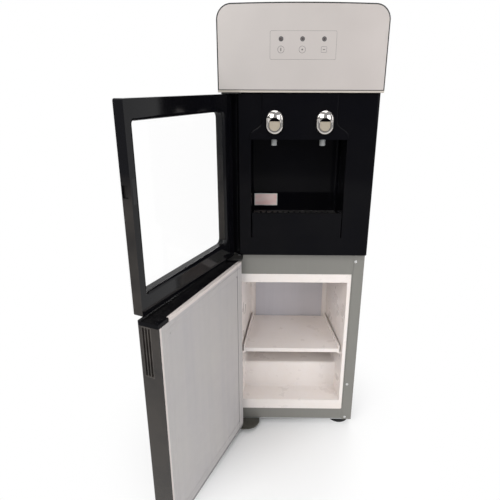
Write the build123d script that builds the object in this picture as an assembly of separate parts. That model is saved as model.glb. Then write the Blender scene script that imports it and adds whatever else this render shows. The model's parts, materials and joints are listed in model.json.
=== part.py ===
from build123d import *
import os
from math import cos, hypot, radians, sin

# Water dispenser over a small refrigerated cabinet, in millimetres.
# x runs to the right, y to the back and z up. The pieces are drawn about the middle of the cabinet's
# front edge, and the whole is moved at the end so that the origin lies on the floor in the middle of
# the footprint that it takes with both doors standing open.

# ---- casing ----
body_width = 320.0
body_depth = 285.0
sheet = 1.0
flange_width = 24.0
foot_height = 15.0
slip = 0.3
levelling_inset = 29.0
levelling_y = 33.0
levelling_radius = 27.0
levelling_pad_height = 8.0
levelling_collar_radius = 9.0
levelling_collar_top = 11.0
levelling_stud = 4.0
levelling_stud_top = 31.0
rear_foot_inset = 32.0
rear_foot_radius = 16.0
louvre_rows = 8
louvre_pitch = 14.0
louvre_top_margin = 60.0
louvre_middle = 70.0
louvre_half_width = 45.0
louvre_height = 5.0
stile_screws = ((19.8, 460.0), (16.9, 123.9), (16.4, 22.0))
stile_screw_radius = 3.2
stile_screw_head = 0.6
rear_screw_inset = 10.0
rear_screw_heights = (140.0, 560.0)
rear_screw_top_margin = 15.0
rear_screw_radius = 3.8
rear_screw_head = 1.6
hinge_screw_radius = 3.2
hinge_screw_head = 1.2

# ---- head ----
head_overhang = 4.0
head_top = 989.0
head_height = 160.4
head_arch = 3.0
head_corner = 29.0
head_face = -24.5
head_front_depth = 64.5
head_wall = 3.0
head_panel_thickness = 2.0
head_trim_width = 2.2
head_bottom_trim = 5.4
head_edge_radius = 1.2
cover_height = 39.0
cover_rear_wall = 3.0
cover_edge_radius = 8.0
cover_skirt = 10.0
cover_ledge = 9.0
cover_ledge_thickness = 3.0
lens_places = (-41.0, 0.0, 41.5)
lens_drop = 63.4
lens_radius = 2.3
lens_proud = 0.8
board_half_width = 62.0
board_below_lenses = 30.0
board_above_lenses = 22.0
board_thickness = 1.6
board_peg_length = 5.0
board_peg_radius = 3.0

# ---- tap bay ----
bay_lift = 10.0
bay_face = -17.0
bay_wall = 2.5
hinge_leaf = 2.0
door_sweep_clearance = 1.2
niche_half_width = 99.0
niche_rise = 42.0
niche_drop = 91.6
niche_back = 83.0
niche_edge_radius = 2.0
niche_corner_radius = 6.0
bay_corner_radius = 5.0
console_half_width = 77.0
console_flare = 3.0
console_raise = 2.5
console_edge_radius = 2.0
strike_height = 46.0
strike_thickness = 3.0
catch_inset = 8.3
catch_width = 10.0
console_shoulder_drop = 52.6
console_hem = 4.0

# ---- taps ----
tap_spacing = 102.0
tap_drop = 57.6
tap_width = 35.0
tap_length = 47.0
tap_rim = 6.0
tap_rim_depth = 7.0
tap_rim_radius = 4.0
tap_hood_cover = 13.5
tap_hood_depth = 11.5
tap_dome_radius = 24.0
tap_dome_lift = 7.0
tap_gap = 7.5
tap_button_thickness = 3.5
tap_button_proud = 1.0
tap_button_gap = 0.7
tap_travel = 4.0
tap_stem_radius = 4.0
tap_stem_end = -8.0
tap_button_drop = 7.5
tap_valve_half_width = 13.0
tap_valve_back = 35.0
tap_valve_rise = 16.0
nozzle_bore = 3.5
nozzle_radius = 6.0
nozzle_drop = 15.0
nozzle_depth = 6.0
hose_radius = 5.0
cold_hose_rise = 11.0

# ---- drip tray ----
tray_gap = 1.0
tray_wall = 2.5
tray_lip = 3.0
tray_rear_height = 38.0
tray_front_height = 56.0
tray_proud = 2.0
tray_corner = 3.0
grid_thickness = 3.0
grid_slot_width = 4.0
grid_slots = 13
grid_border = 10.0
grid_drop = 2.0
grid_ledge = 6.0

# ---- cabinet ----
stile_width = 27.0
opening_bottom = 47.5
opening_drop = 44.0
tub_mouth_inset = 8.0
tub_draw_in = 19.0
tub_floor_rise = 27.5
tub_roof_drop = 21.0
tub_wall = 2.5
liner_flange = 7.0
liner_fit = 0.2
liner_lip_corner = 3.0
step_front = 57.0
step_top = 150.0
step_radius = 5.0
tub_corner = 10.0
shelf_top = 221.0
shelf_front = 12.0
shelf_side_gap = 4.0
shelf_back_gap = 6.0
shelf_thickness = 4.0
shelf_rim = 10.0
shelf_lip = 9.0
shelf_edge = 3.0
shelf_rib = 8.0
shelf_rib_height = 5.0
evaporator_side_gap = 13.0
evaporator_floor_gap = 12.0
evaporator_roof_gap = 14.0
evaporator_sheet = 2.0
evaporator_rim = 4.0
evaporator_recess = 0.6
machine_room_depth = 73.0
rear_insulation = 25.0
roof_insulation = 38.0
step_insulation = 28.0
step_cover = 22.0

# ---- doors and hinges ----
top_leaf_width = 39.8
middle_leaf_width = 42.0
middle_leaf_thickness = 3.0
middle_leaf_gap = 3.0
bottom_leaf_width = 80.0
bottom_leaf_drop = 3.0
bottom_leaf_reach = 38.0
bottom_leaf_corner = 32.0
hinge_inset = 13.8
hinge_y = -26.0
pin_radius = 2.0
pin_clearance = 0.06
pin_reach = 12.0
door_face = -44.9
door_side_gap = 0.7
upper_door_lift = 8.4
upper_door_drop = 2.8
upper_door_gap = 5.9
upper_door_angle = 114.4
upper_door_corner = 4.0
upper_glass = 3.5
upper_glass_inset = 0.4
window_hinge_margin = 33.0
window_free_margin = 18.3
window_top_margin = 32.6
window_bottom_margin = 38.5
window_hinge_corner = 12.0
window_free_corner = 4.0
window_edge_radius = 6.0
finger_notch_drop = 144.8
finger_notch_height = 20.0
finger_notch_depth = 3.0
magnet_thickness = 2.5
lower_door_bottom = 17.0
lower_door_top = 472.0
lower_door_angle = 112.8
lower_door_wall = 2.5
lower_cap_height = 7.5
lower_door_edge_radius = 3.0
boss_radius = 6.0
inner_panel_inset = 1.5
inner_panel = 2.0
inner_panel_rise = 7.5
inner_panel_corner = 4.0
end_rim_drop = 1.2
cap_rim_length = 30.0
gasket_depth = 6.0
gasket_clearance = 0.9
gasket_proud = 0.5
gasket_margin = 13.3
gasket_width = 15.0
gasket_groove_gap = 0.5
gasket_corner = 6.0
gasket_edge_radius = 1.5
grip_bottom = 364.0
grip_height = 100.0
grip_width = 20.0
grip_depth = 6.0
grip_offset = -1.0
grip_slots = 3
grip_slot_width = 4.2
grip_slot_depth = 3.6
grip_slot_margin = 2.5
grip_fit = 0.1

# ---- tanks and cooling ----
seat_from_back = 135.0
seat_bore_radius = 30.0
seat_bore_length = 28.0
seat_depth = 39.0
seat_mouth_radius = 80.0
seat_flange = 12.0
seat_wall = 2.5
cold_tank_radius = 70.0
cold_tank_height = 115.0
cold_tank_gap = 3.0
tank_wall = 1.0
jacket = 14.0
jacket_front_cut = 5.0
tank_corner = 6.0
deck_front = 60.0
deck_sheet = 2.0
deck_hem = 14.0
hot_tank_x = -60.0
hot_tank_from_back = 95.0
hot_tank_radius = 45.0
hot_tank_height = 144.0
heater_band_bottom = 30.0
heater_band_height = 40.0
heater_band_thickness = 3.0
hot_port_drop = 19.0
drain_drop = 40.0
drain_reach = 18.0
drain_radius = 6.0
drain_collar_radius = 11.0
drain_collar_thickness = 3.0
drain_cap_radius = 9.0
drain_cap_end = 4.0
knob_x = 95.0
knob_rise = 50.0
knob_radius = 13.0
knob_depth = 12.0
knob_shaft = 3.0
switch_x = 95.0
switch_z = 640.0
switch_plate_half_width = 36.0
switch_plate_half_height = 19.0
switch_plate_thickness = 2.5
switch_housing_half_width = 29.0
switch_housing_half_height = 12.0
switch_housing_depth = 14.0
rocker_radius = 9.0
rocker_width = 14.0
rocker_spacing = 26.0
rocker_tilt_angle = 8.0
rocker_sink = 2.0
gland_x = -100.0
gland_z = 150.0
gland_body = 8.0
gland_flange = 3.0
gland_fit = 0.1
gland_bore = 4.0
gland_proud = 5.0
gland_inside = 6.0
compressor_x = 5.0
compressor_from_back = 59.0
compressor_radius = 52.0
compressor_height = 84.0
compressor_plate_half_width = 72.0
compressor_plate_half_depth = 44.0
grommet_height = 9.0
grommet_radius = 8.0
grommet_x = 60.0
grommet_y = 34.0
compressor_dome = 26.0
compressor_heel = 10.0
compressor_plate_thickness = 3.0
compressor_plate_corner = 12.0
terminal_half_width = 22.0
terminal_front = 66.0
terminal_back = 40.0
terminal_below = 24.0
terminal_above = 16.0
terminal_corner = 4.0
port_rise = 56.0
port_reach = 66.0
pipe_bend = 9.0
outlet_reach = 34.0
outlet_rise = 8.0
inlet_reach = 26.0
inlet_offset = 46.0
inlet_rise = 50.0
inlet_behind_foam = 32.0
inlet_below_opening = 12.0
condenser_half_width = 130.0
condenser_bottom = 190.0
condenser_pitch = 32.0
condenser_drain_gap = 60.0
condenser_feed = 40.0
condenser_end = 30.0
condenser_standoff = 9.0
condenser_tube = 2.4
condenser_wire = 0.8
condenser_wires = 25
condenser_wire_margin = 24.0
condenser_clip_margin = 18.8
condenser_clip_half_width = 3.5
condenser_clip_half_height = 7.0
stub_radius = 4.0

# ---- worked-out places ----
half = body_width / 2
inside = half - sheet
back_face = body_depth
pan_top = foot_height + 2 * sheet
levelling_x = half - levelling_inset
head_width = body_width + 2 * head_overhang
head_bottom = head_top - head_height
casing_top = head_top - cover_height
cover_back = back_face + cover_rear_wall
lens_height = head_top - lens_drop
board_front = head_face + head_panel_thickness + head_wall + board_peg_length
top_leaf_bottom = head_bottom - hinge_leaf
bay_bottom = lower_door_top + bay_lift
bay_top = head_bottom - slip
niche_floor = bay_bottom + niche_rise
niche_ceiling = head_bottom - niche_drop
tap_height = head_bottom - tap_drop
console_face = bay_face - console_raise
button_middle = tap_height - tap_button_drop
opening_half_width = half - stile_width
opening_top = lower_door_top - opening_drop
tub_mouth_half_width = opening_half_width - tub_mouth_inset
tub_back_half_width = tub_mouth_half_width - tub_draw_in
tub_floor = opening_bottom + tub_floor_rise
tub_roof = opening_top - tub_roof_drop
insulation_back = back_face - machine_room_depth
insulation_top = tub_roof + roof_insulation
tub_back = insulation_back - rear_insulation
machine_bay_front = step_front + step_insulation
machine_bay_top = step_top - step_cover
evaporator_half_width = tub_back_half_width - evaporator_side_gap
hinge_x = hinge_inset - half
top_leaf_right = top_leaf_width - half
middle_leaf_right = middle_leaf_width - half
bottom_leaf_right = bottom_leaf_width - half
middle_leaf_bottom = lower_door_top + middle_leaf_gap
middle_leaf_top = middle_leaf_bottom + middle_leaf_thickness
bottom_leaf_bottom = foot_height - bottom_leaf_drop
door_half_width = half - door_side_gap
upper_door_bottom = lower_door_top + upper_door_lift
upper_door_top = head_bottom - upper_door_drop
upper_door_back = bay_face - upper_door_gap
finger_notch_bottom = upper_door_top - finger_notch_drop
catch_x = door_half_width - catch_inset
catch_z = finger_notch_bottom + finger_notch_height / 2
gasket_face = -gasket_clearance
panel_face = gasket_face - gasket_proud
door_swing_radius = -hinge_y - stile_screw_head - slip
lower_door_back = panel_face - inner_panel_rise
end_rim_face = panel_face - end_rim_drop
cap_bottom = lower_door_top - lower_cap_height
grip_middle = (door_face + lower_door_back) / 2 + grip_offset
seat_y = back_face - seat_from_back
seat_bore_top = head_top - seat_depth
cold_tank_top = seat_bore_top - seat_bore_length - cold_tank_gap - jacket
deck_height = cold_tank_top - cold_tank_height - jacket - deck_sheet
hot_tank_y = back_face - hot_tank_from_back
hot_tank_bottom = deck_height - hot_tank_height
hot_port_z = deck_height - hot_port_drop
hot_port_y = hot_tank_y - hot_tank_radius - 5.0
drain_x = hot_tank_x
drain_z = hot_tank_bottom - drain_drop
drain_end = back_face + drain_reach
rocker_y = back_face - rocker_sink
knob_z = switch_z + knob_rise
compressor_y = back_face - compressor_from_back
compressor_base = pan_top + grommet_height
port_z = compressor_base + port_rise
condenser_y = back_face + condenser_standoff + condenser_tube
condenser_rows = int((drain_z - condenser_drain_gap - condenser_bottom) / condenser_pitch) + 1
condenser_top = condenser_bottom + (condenser_rows - 1) * condenser_pitch
window = (
    -door_half_width + window_hinge_margin,
    door_half_width - window_free_margin,
    upper_door_bottom + window_bottom_margin,
    upper_door_top - window_top_margin,
)


# ---- drawing helpers ----
def slab(x_from, x_to, y_from, y_to, z_from, z_to):
    """A block between two corners."""
    middle = Pos((x_from + x_to) / 2, (y_from + y_to) / 2, (z_from + z_to) / 2)
    return middle * Box(x_to - x_from, y_to - y_from, z_to - z_from)


def post(x, y, z_from, z_to, radius):
    """An upright round bar."""
    return Pos(x, y, (z_from + z_to) / 2) * Cylinder(radius, z_to - z_from)


def bar(x, z, y_from, y_to, radius):
    """A round bar that runs from front to back."""
    return Pos(x, (y_from + y_to) / 2, z) * Rot(90, 0, 0) * Cylinder(radius, y_to - y_from)


def from_front(outline, y_from, y_to):
    """An outline drawn in x and z, given its thickness from y_from back to y_to."""
    return Pos(0, y_to, 0) * Rot(90, 0, 0) * extrude(outline, y_to - y_from)


def front_slab(x_from, x_to, z_from, z_to, y_from, y_to, corner):
    """A plate that faces the front, with rounded corners."""
    outline = RectangleRounded(x_to - x_from, z_to - z_from, corner)
    return from_front(Pos((x_from + x_to) / 2, (z_from + z_to) / 2) * outline, y_from, y_to)


def tube(points, bend, radius):
    """A round pipe along straight runs joined by arcs."""
    path = FilletPolyline(*points, radius=bend)
    return sweep(Plane(path @ 0, z_dir=path % 0) * Circle(radius), path=path)


def opened(x, y, angle):
    """Where a point of a closed door lies once the door stands open by the angle."""
    turn = radians(angle)
    across, along = x - hinge_x, y - hinge_y
    return (
        hinge_x + across * cos(turn) + along * sin(turn),
        hinge_y - across * sin(turn) + along * cos(turn),
    )


def swing(shape, angle):
    """A door piece drawn closed, turned open about the hinge line."""
    return shape.rotate(Axis((hinge_x, hinge_y, 0), (0, 0, 1)), -angle)


def group(*solids):
    """Separate solids that share one node."""
    return Compound([solid for shape in solids for solid in shape.solids()])


def hinge_slots():
    """Room for the top and middle hinge leaves where they pass through the casing's front."""
    top_right, middle_right = top_leaf_right + 2, middle_leaf_right + 3
    top = slab(-half - 1, top_right, -40, 27, top_leaf_bottom - slip, head_bottom + slip)
    middle = slab(-half - 1, middle_right, -40, 24, middle_leaf_bottom - slip, middle_leaf_top + slip)
    return top + middle


# ---- casing ----
def side_panel(side):
    """A sheet side with a flange turned in at the front and at the back."""
    outer = side * half
    inner = side * inside
    edge = side * (half - flange_width)
    near, far = sorted((outer, edge))
    rear_face = back_face - sheet
    wall = slab(min(outer, inner), max(outer, inner), 0, rear_face, foot_height, casing_top)
    front = slab(near, far, 0, sheet, foot_height, casing_top)
    rear = slab(near, far, rear_face - sheet, rear_face, foot_height, casing_top)
    panel = wall + front + rear
    if side < 0:
        panel -= hinge_slots()
    return panel


def cabinet_front_frame():
    """The sheet frame round the liner, tucked behind the side flanges."""
    frame = slab(-inside, inside, sheet, 2 * sheet, foot_height + 2 * sheet, bay_bottom - sheet)
    hole = slab(-opening_half_width, opening_half_width, 0, 3 * sheet, opening_bottom, opening_top)
    return frame - hole - hinge_slots()


def back_panel():
    """The rear sheet with louvres above the condenser and holes for what passes through it."""
    panel = slab(-half + 2, half - 2, back_face - sheet, back_face, machine_bay_top, casing_top)
    for column in (-louvre_middle, louvre_middle):
        left, right = column - louvre_half_width, column + louvre_half_width
        for row in range(louvre_rows):
            z = casing_top - louvre_top_margin - louvre_pitch * row
            panel -= slab(left, right, back_face - 5, back_face + 5, z, z + louvre_height)
    panel -= bar(drain_x, drain_z, back_face - 5, back_face + 5, drain_radius + slip)
    panel -= bar(knob_x, knob_z, back_face - 5, back_face + 5, knob_shaft + slip)
    panel -= switch_housing(1, 1)
    panel -= bar(gland_x, gland_z, back_face - 5, back_face + 5, gland_body + gland_fit)
    return panel


def base_pan():
    """The floor sheet of the casing, with two holes for the levelling studs."""
    floor = slab(-inside, inside, sheet, back_face - 2 * sheet, foot_height, pan_top)
    for side in (-1, 1):
        floor -= post(side * levelling_x, levelling_y, 0, 2 * foot_height, levelling_stud + slip)
    return floor


def levelling_foot(side):
    """A round pad on a threaded stud that screws up into the base pan."""
    x = side * levelling_x
    pad = post(x, levelling_y, 0, levelling_pad_height, levelling_radius)
    pad = fillet(pad.edges().group_by(Axis.Z)[-1], 3)
    pad += post(x, levelling_y, levelling_pad_height, levelling_collar_top, levelling_collar_radius)
    return pad + post(x, levelling_y, levelling_collar_top, levelling_stud_top, levelling_stud)


def rear_feet():
    """Two fixed rubber feet under the machine bay."""
    feet = []
    for side in (-1, 1):
        x, y = side * (half - rear_foot_inset), back_face - rear_foot_inset
        foot = post(x, y, 0, foot_height, rear_foot_radius)
        feet.append(chamfer(foot.edges().group_by(Axis.Z)[0], 2))
    return group(*feet)


def casing_screws():
    """Low round heads on the front stiles, on the back panel and on the lower hinges."""
    heads = []
    for side in (-1, 1):
        for inset, z in stile_screws:
            heads.append(bar(side * (half - inset), z, -stile_screw_head, 0, stile_screw_radius))
        x = side * (half - rear_screw_inset)
        for z in (*rear_screw_heights, casing_top - rear_screw_top_margin):
            heads.append(bar(x, z, back_face, back_face + rear_screw_head, rear_screw_radius))
    for x in (bottom_leaf_right - 28, bottom_leaf_right - 44):
        low = bottom_leaf_bottom - hinge_screw_head
        heads.append(post(x, 2, low, bottom_leaf_bottom, hinge_screw_radius))
    for x in (middle_leaf_right - 8, middle_leaf_right - 24):
        high = middle_leaf_top + hinge_screw_head
        heads.append(post(x, -8, middle_leaf_top, high, hinge_screw_radius))
    return group(*heads)


# ---- head ----
def head_outline(inset, arch):
    """The head seen from the front: square at the bottom, round at the top corners."""
    side = head_width / 2 - inset
    bottom = head_bottom + inset
    crown = head_top - inset
    shoulder = crown - arch
    sides = Polyline((side, shoulder), (side, bottom), (-side, bottom), (-side, shoulder))
    if arch > 0:
        top = ThreePointArc((-side, shoulder), (0, crown), (side, shoulder))
    else:
        top = Line((-side, shoulder), (side, shoulder))
    face = make_face(sides + top)
    return fillet(face.vertices().group_by(Axis.Y)[-1], head_corner - inset)


def panel_outline(gap):
    """The silver panel's outline, inside the head's trim."""
    outline = head_outline(head_trim_width + gap, head_arch)
    below = Pos(0, head_bottom) * Rectangle(head_width + 10, 2 * head_bottom_trim + 2 * gap)
    return outline - below


def head_surround():
    """The moulded front of the head, open at the back, with a rim round the silver panel."""
    front_end = head_face + head_front_depth
    shell = from_front(head_outline(0, head_arch), head_face, front_end)
    rim = shell.faces().sort_by(Axis.Y)[0].outer_wire().edges()
    shell = fillet(rim, head_edge_radius)
    seat = head_face + head_panel_thickness
    shell -= from_front(panel_outline(0), head_face - 1, seat)
    hollow = head_outline(head_width / 2 - half - slip, head_arch)
    shell -= from_front(hollow, seat + head_wall, front_end + 1)
    shell -= slab(-half - slip, half + slip, -0.5, front_end + 1, head_bottom - 1, head_bottom + 20)
    for x in lens_places:
        shell -= bar(x, lens_height, seat - 1, seat + head_wall + 1, lens_radius + slip)
    return shell


def head_panel():
    """The silver panel with its three lamp holes."""
    panel = from_front(panel_outline(slip / 2), head_face, head_face + head_panel_thickness)
    for x in lens_places:
        panel -= bar(x, lens_height, head_face - 1, head_face + 5, lens_radius + 0.1)
    return panel


def indicator_lenses():
    """Three small domed lamp lenses that reach back to the control board."""
    lenses = []
    for x in lens_places:
        lens = bar(x, lens_height, head_face - lens_proud, board_front, lens_radius)
        lenses.append(fillet(lens.edges().group_by(Axis.Y)[0], 0.7))
    return group(*lenses)


def control_board():
    """The lamp board on four pegs behind the head's front wall."""
    wall = head_face + head_panel_thickness + head_wall
    low, high = lens_height - board_below_lenses, lens_height + board_above_lenses
    board_back = board_front + board_thickness
    board = slab(-board_half_width, board_half_width, board_front, board_back, low, high)
    peg_x = board_half_width - 2 * board_peg_radius
    for x in (-peg_x, peg_x):
        for z in (low + 2 * board_peg_radius, high - 2 * board_peg_radius):
            board += bar(x, z, wall, board_front, board_peg_radius)
    return board


def top_cover():
    """The rest of the head: sides, top and rear wall, standing on the casing's side panels."""
    front_end = head_face + head_front_depth
    cover = from_front(head_outline(0, 0), front_end, cover_back)
    level = head_top - head_arch
    cover -= slab(-head_width, head_width, 0, 2 * cover_back, level, head_top + 10)
    rear_edge = cover.edges().filter_by(Axis.X).group_by(Axis.Z)[-1].sort_by(Axis.Y)[-1:]
    cover = fillet(rear_edge, cover_edge_radius)
    hollow = head_outline(head_width / 2 - half - slip, head_arch)
    cover -= from_front(hollow, front_end - 1, back_face + slip)
    loose = half + slip
    cover -= slab(-loose, loose, front_end - 1, back_face + slip, head_bottom - 1, head_bottom + 20)
    skirt_bottom = casing_top - cover_skirt
    rear = back_face - 10
    cover -= slab(-head_width, head_width, rear, cover_back + 1, head_bottom - 1, skirt_bottom)
    for side in (-1, 1):
        near, far = sorted((side * (half - cover_ledge), side * loose))
        ledge_top = casing_top + cover_ledge_thickness
        cover += slab(near, far, front_end, back_face + slip, casing_top, ledge_top)
    cover -= post(0, seat_y, casing_top, head_top + 5, seat_mouth_radius + seat_wall + slip)
    return cover


def bottle_seat():
    """The funnel that the bottle's neck stands in: a flange, a cone and a straight socket."""
    level = head_top - head_arch
    socket_bottom = seat_bore_top - seat_bore_length
    inner = (
        (seat_bore_radius, socket_bottom),
        (seat_bore_radius, seat_bore_top),
        (seat_mouth_radius, level),
        (seat_mouth_radius, head_top),
    )
    outer = (
        (seat_mouth_radius + seat_flange, head_top),
        (seat_mouth_radius + seat_flange, level),
        (seat_mouth_radius + seat_wall, level),
        (seat_mouth_radius + seat_wall, level - seat_wall),
        (seat_bore_radius + seat_wall, seat_bore_top - seat_wall),
        (seat_bore_radius + seat_wall, socket_bottom),
    )
    profile = make_face(Polyline(*inner, *outer, close=True))
    upright = Rot(90, 0, 0) * profile
    return Pos(0, seat_y, 0) * revolve(upright, Axis.Z)


# ---- tap bay ----
def console_outline():
    """The raised tap panel: narrow at the top, flaring out to the sides of the niche."""
    top = bay_top
    narrow = console_half_width
    wide = niche_half_width + console_flare
    low = niche_ceiling
    shoulder, hem = head_bottom - console_shoulder_drop, niche_ceiling + console_hem
    right = Spline((narrow, shoulder), (wide, hem), tangents=((0, -1), (0, -1)))
    left = Spline((-wide, hem), (-narrow, shoulder), tangents=((0, 1), (0, 1)))
    edge = Polyline((-narrow, shoulder), (-narrow, top), (narrow, top), (narrow, shoulder))
    foot = Polyline((wide, hem), (wide, low), (-wide, low), (-wide, hem))
    return make_face(edge + right + foot + left)


def niche(grow, mouth):
    """The hollow where a cup stands, grown by a wall thickness where that is wanted."""
    room = slab(
        -niche_half_width - grow,
        niche_half_width + grow,
        mouth,
        niche_back + grow,
        niche_floor - grow,
        niche_ceiling + grow,
    )
    rear = room.edges().filter_by(Axis.Z).group_by(Axis.Y)[-1]
    return fillet(rear, niche_corner_radius + grow)


def bay_moulding():
    """The black front of the tap bay, with the cup niche and a channel for the door's hinge edge."""
    corner_reach = hypot(door_half_width + hinge_x, door_face - hinge_y)
    sweep_radius = corner_reach + door_sweep_clearance
    front = slab(-half, half, bay_face, 0, bay_bottom, bay_top)
    right_edge = front.edges().filter_by(Axis.Z).group_by(Axis.Y)[0].sort_by(Axis.X)[-1:]
    front = fillet(right_edge, bay_corner_radius)
    hollow = slab(
        -half + bay_wall,
        half - bay_wall,
        bay_face + bay_wall,
        1,
        bay_bottom + bay_wall,
        top_leaf_bottom - slip,
    )
    channel = post(hinge_x, hinge_y, bay_bottom - 1, bay_top + 1, sweep_radius)
    channel_wall = post(hinge_x, hinge_y, bay_bottom - 1, bay_top + 1, sweep_radius + bay_wall)
    moulding = front - channel - (hollow - channel_wall)
    raised = from_front(console_outline(), console_face, bay_face + bay_wall)
    face = raised.faces().sort_by(Axis.Y)[0]
    sides = [edge for edge in face.outer_wire().edges() if abs(edge.center().Z - niche_ceiling) > 5]
    sides = [edge for edge in sides if abs(edge.center().Z - bay_top) > 5]
    raised = fillet(sides, console_edge_radius)
    moulding += raised
    moulding += niche(bay_wall, bay_face)
    moulding -= niche(0, console_face - 5)
    corner = [
        edge
        for edge in moulding.edges().filter_by(Axis.Z)
        if abs(abs(edge.center().X) - niche_half_width) < 0.01 and abs(edge.center().Y - bay_face) < 0.01
    ]
    moulding = fillet(corner, niche_edge_radius)
    for side in (-1, 1):
        x = side * tap_spacing / 2
        moulding -= bar(x, button_middle, console_face - 1, 0, tap_stem_radius + slip)
        above = niche_ceiling + bay_wall + 1
        moulding -= post(x, nozzle_depth, niche_ceiling - 1, above, nozzle_radius + slip)
    return moulding - hinge_slots()


def door_strike():
    """The steel pad behind the bay's front wall that holds the glass door's magnet."""
    left, right = catch_x - catch_width / 2, catch_x + catch_width / 2
    low, high = catch_z - strike_height / 2, catch_z + strike_height / 2
    front = bay_face + bay_wall
    return slab(left, right, front, front + strike_thickness, low, high)


def drip_tray():
    """The pull-out tray, higher at the front, with a step that the grid lies on."""
    wide = niche_half_width - tray_gap
    front = bay_face - tray_proud
    back = niche_back - tray_gap
    bottom = niche_floor + slip
    rear_top = niche_floor + tray_rear_height
    lip = tray_wall + tray_lip
    tray = slab(-wide, wide, front, back, bottom, rear_top)
    tray += slab(-wide, wide, front, front + lip, rear_top, niche_floor + tray_front_height)
    tray = fillet(tray.edges().filter_by(Axis.Z).group_by(Axis.Y)[0], tray_corner)
    rear = tray.edges().filter_by(Axis.Z).group_by(Axis.Y)[-1]
    tray = fillet(rear, niche_corner_radius - tray_gap)
    step = rear_top - grid_thickness - grid_drop
    edge = wide - tray_wall
    basin = slab(
        -edge + grid_ledge,
        edge - grid_ledge,
        front + lip + grid_ledge,
        back - tray_wall - grid_ledge,
        bottom + tray_wall,
        rear_top + 1,
    )
    tray -= basin
    tray -= slab(-edge, edge, front + lip, back - tray_wall, step, rear_top + 1)
    return tray


def drip_grid():
    """The slotted plate that a cup stands on."""
    edge = niche_half_width - tray_gap - tray_wall - slip
    front = bay_face - tray_proud + tray_wall + tray_lip + slip
    back = niche_back - tray_gap - tray_wall - slip
    bottom = niche_floor + tray_rear_height - grid_thickness - grid_drop + slip
    plate = slab(-edge, edge, front, back, bottom, bottom + grid_thickness)
    pitch = 2 * (edge - grid_border) / grid_slots
    near, far = front + grid_border, back - grid_border
    for count in range(grid_slots):
        x = -edge + grid_border + pitch * (count + 0.5)
        left, right = x - grid_slot_width / 2, x + grid_slot_width / 2
        plate -= slab(left, right, near, far, bottom - 1, bottom + grid_thickness + 1)
    return plate


# ---- taps ----
def tap_outline():
    """An upright oblong with round ends."""
    return Rot(0, 0, 90) * SlotOverall(tap_length, tap_width)


def tap_opening(side, gap):
    """The opening in the hood that the push plate fills: an oblong under the dome."""
    length = tap_length - tap_rim - tap_hood_cover
    place = Pos(side * tap_spacing / 2, tap_height + (tap_rim - tap_hood_cover) / 2)
    return place * Rot(0, 0, 90) * SlotOverall(length - 2 * gap, tap_width - 2 * tap_rim - 2 * gap)


def tap_hood(side):
    """The chrome surround: a rounded rim round the push plate, swelling to a dome over its top."""
    x = side * tap_spacing / 2
    outline = Pos(x, tap_height) * tap_outline()
    rim = from_front(outline, console_face - tap_rim_depth, console_face)
    rim = fillet(rim.faces().sort_by(Axis.Y)[0].edges(), tap_rim_radius)
    crown = console_face - tap_hood_depth
    middle = Pos(x, crown + tap_dome_radius, tap_height + tap_dome_lift)
    dome = from_front(outline, crown, console_face) & middle * Sphere(tap_dome_radius)
    return rim + dome - from_front(tap_opening(side, 0), crown - 1, console_face + 1)


def tap_button(side):
    """The push plate with its flat top edge and its stem, which slides straight in."""
    x = side * tap_spacing / 2
    top = tap_height + tap_length / 2 - tap_hood_cover - tap_gap
    front = console_face - tap_rim_depth - tap_button_proud
    below = Pos(x, top - tap_length) * Rectangle(2 * tap_width, 2 * tap_length)
    button = from_front(tap_opening(side, tap_button_gap) & below, front, front + tap_button_thickness)
    button = fillet(button.faces().sort_by(Axis.Y)[0].edges(), 1.2)
    return button + bar(x, button_middle, front + tap_button_thickness, tap_stem_end, tap_stem_radius)


def tap_body(side):
    """The valve body behind the bay's front, with a bore for the stem and its pale spout below."""
    x = side * tap_spacing / 2
    front = bay_face + bay_wall
    body = slab(
        x - tap_valve_half_width,
        x + tap_valve_half_width,
        front,
        tap_valve_back,
        niche_ceiling + bay_wall,
        tap_height + tap_valve_rise,
    )
    bore = bar(x, button_middle, front - 1, tap_stem_end + tap_travel + 2, tap_stem_radius + slip)
    low = niche_ceiling - nozzle_drop
    spout = post(x, nozzle_depth, low, niche_ceiling + bay_wall + 1, nozzle_radius)
    spout = fillet(spout.edges().group_by(Axis.Z)[0], 1)
    spout -= post(x, nozzle_depth, low - 1, niche_ceiling - 2, nozzle_bore)
    return body - bore + spout


def tap_hoses():
    """Straight silicone hoses from the cold tank's jacket and from the hot tank to the taps."""
    jacket_front = seat_y - cold_tank_radius - jacket + jacket_front_cut
    cold = bar(tap_spacing / 2, tap_height + cold_hose_rise, tap_valve_back, jacket_front, hose_radius)
    hot = bar(-tap_spacing / 2, hot_port_z, tap_valve_back, hot_port_y, hose_radius)
    return group(cold, hot)


# ---- tanks ----
def tank_deck():
    """The cross sheet that carries the cold tank and from which the hot tank hangs."""
    rear = back_face - 2 * sheet
    deck = slab(-inside, inside, deck_front, rear, deck_height, deck_height + deck_sheet)
    for side in (-1, 1):
        edge = side * inside
        near, far = sorted((edge, edge - side * deck_sheet))
        deck += slab(near, far, deck_front, rear, deck_height - deck_hem, deck_height)
    return deck


def cold_tank():
    """A steel can under the bottle seat, open at its mouth."""
    bottom = deck_height + deck_sheet + jacket
    can = post(0, seat_y, bottom, cold_tank_top, cold_tank_radius)
    can = fillet(can.edges(), tank_corner)
    room = post(0, seat_y, bottom + tank_wall, cold_tank_top - tank_wall, cold_tank_radius - tank_wall)
    can -= fillet(room.edges(), tank_corner - tank_wall)
    return can - post(0, seat_y, cold_tank_top - 5, cold_tank_top + 5, seat_bore_radius + 2)


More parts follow.
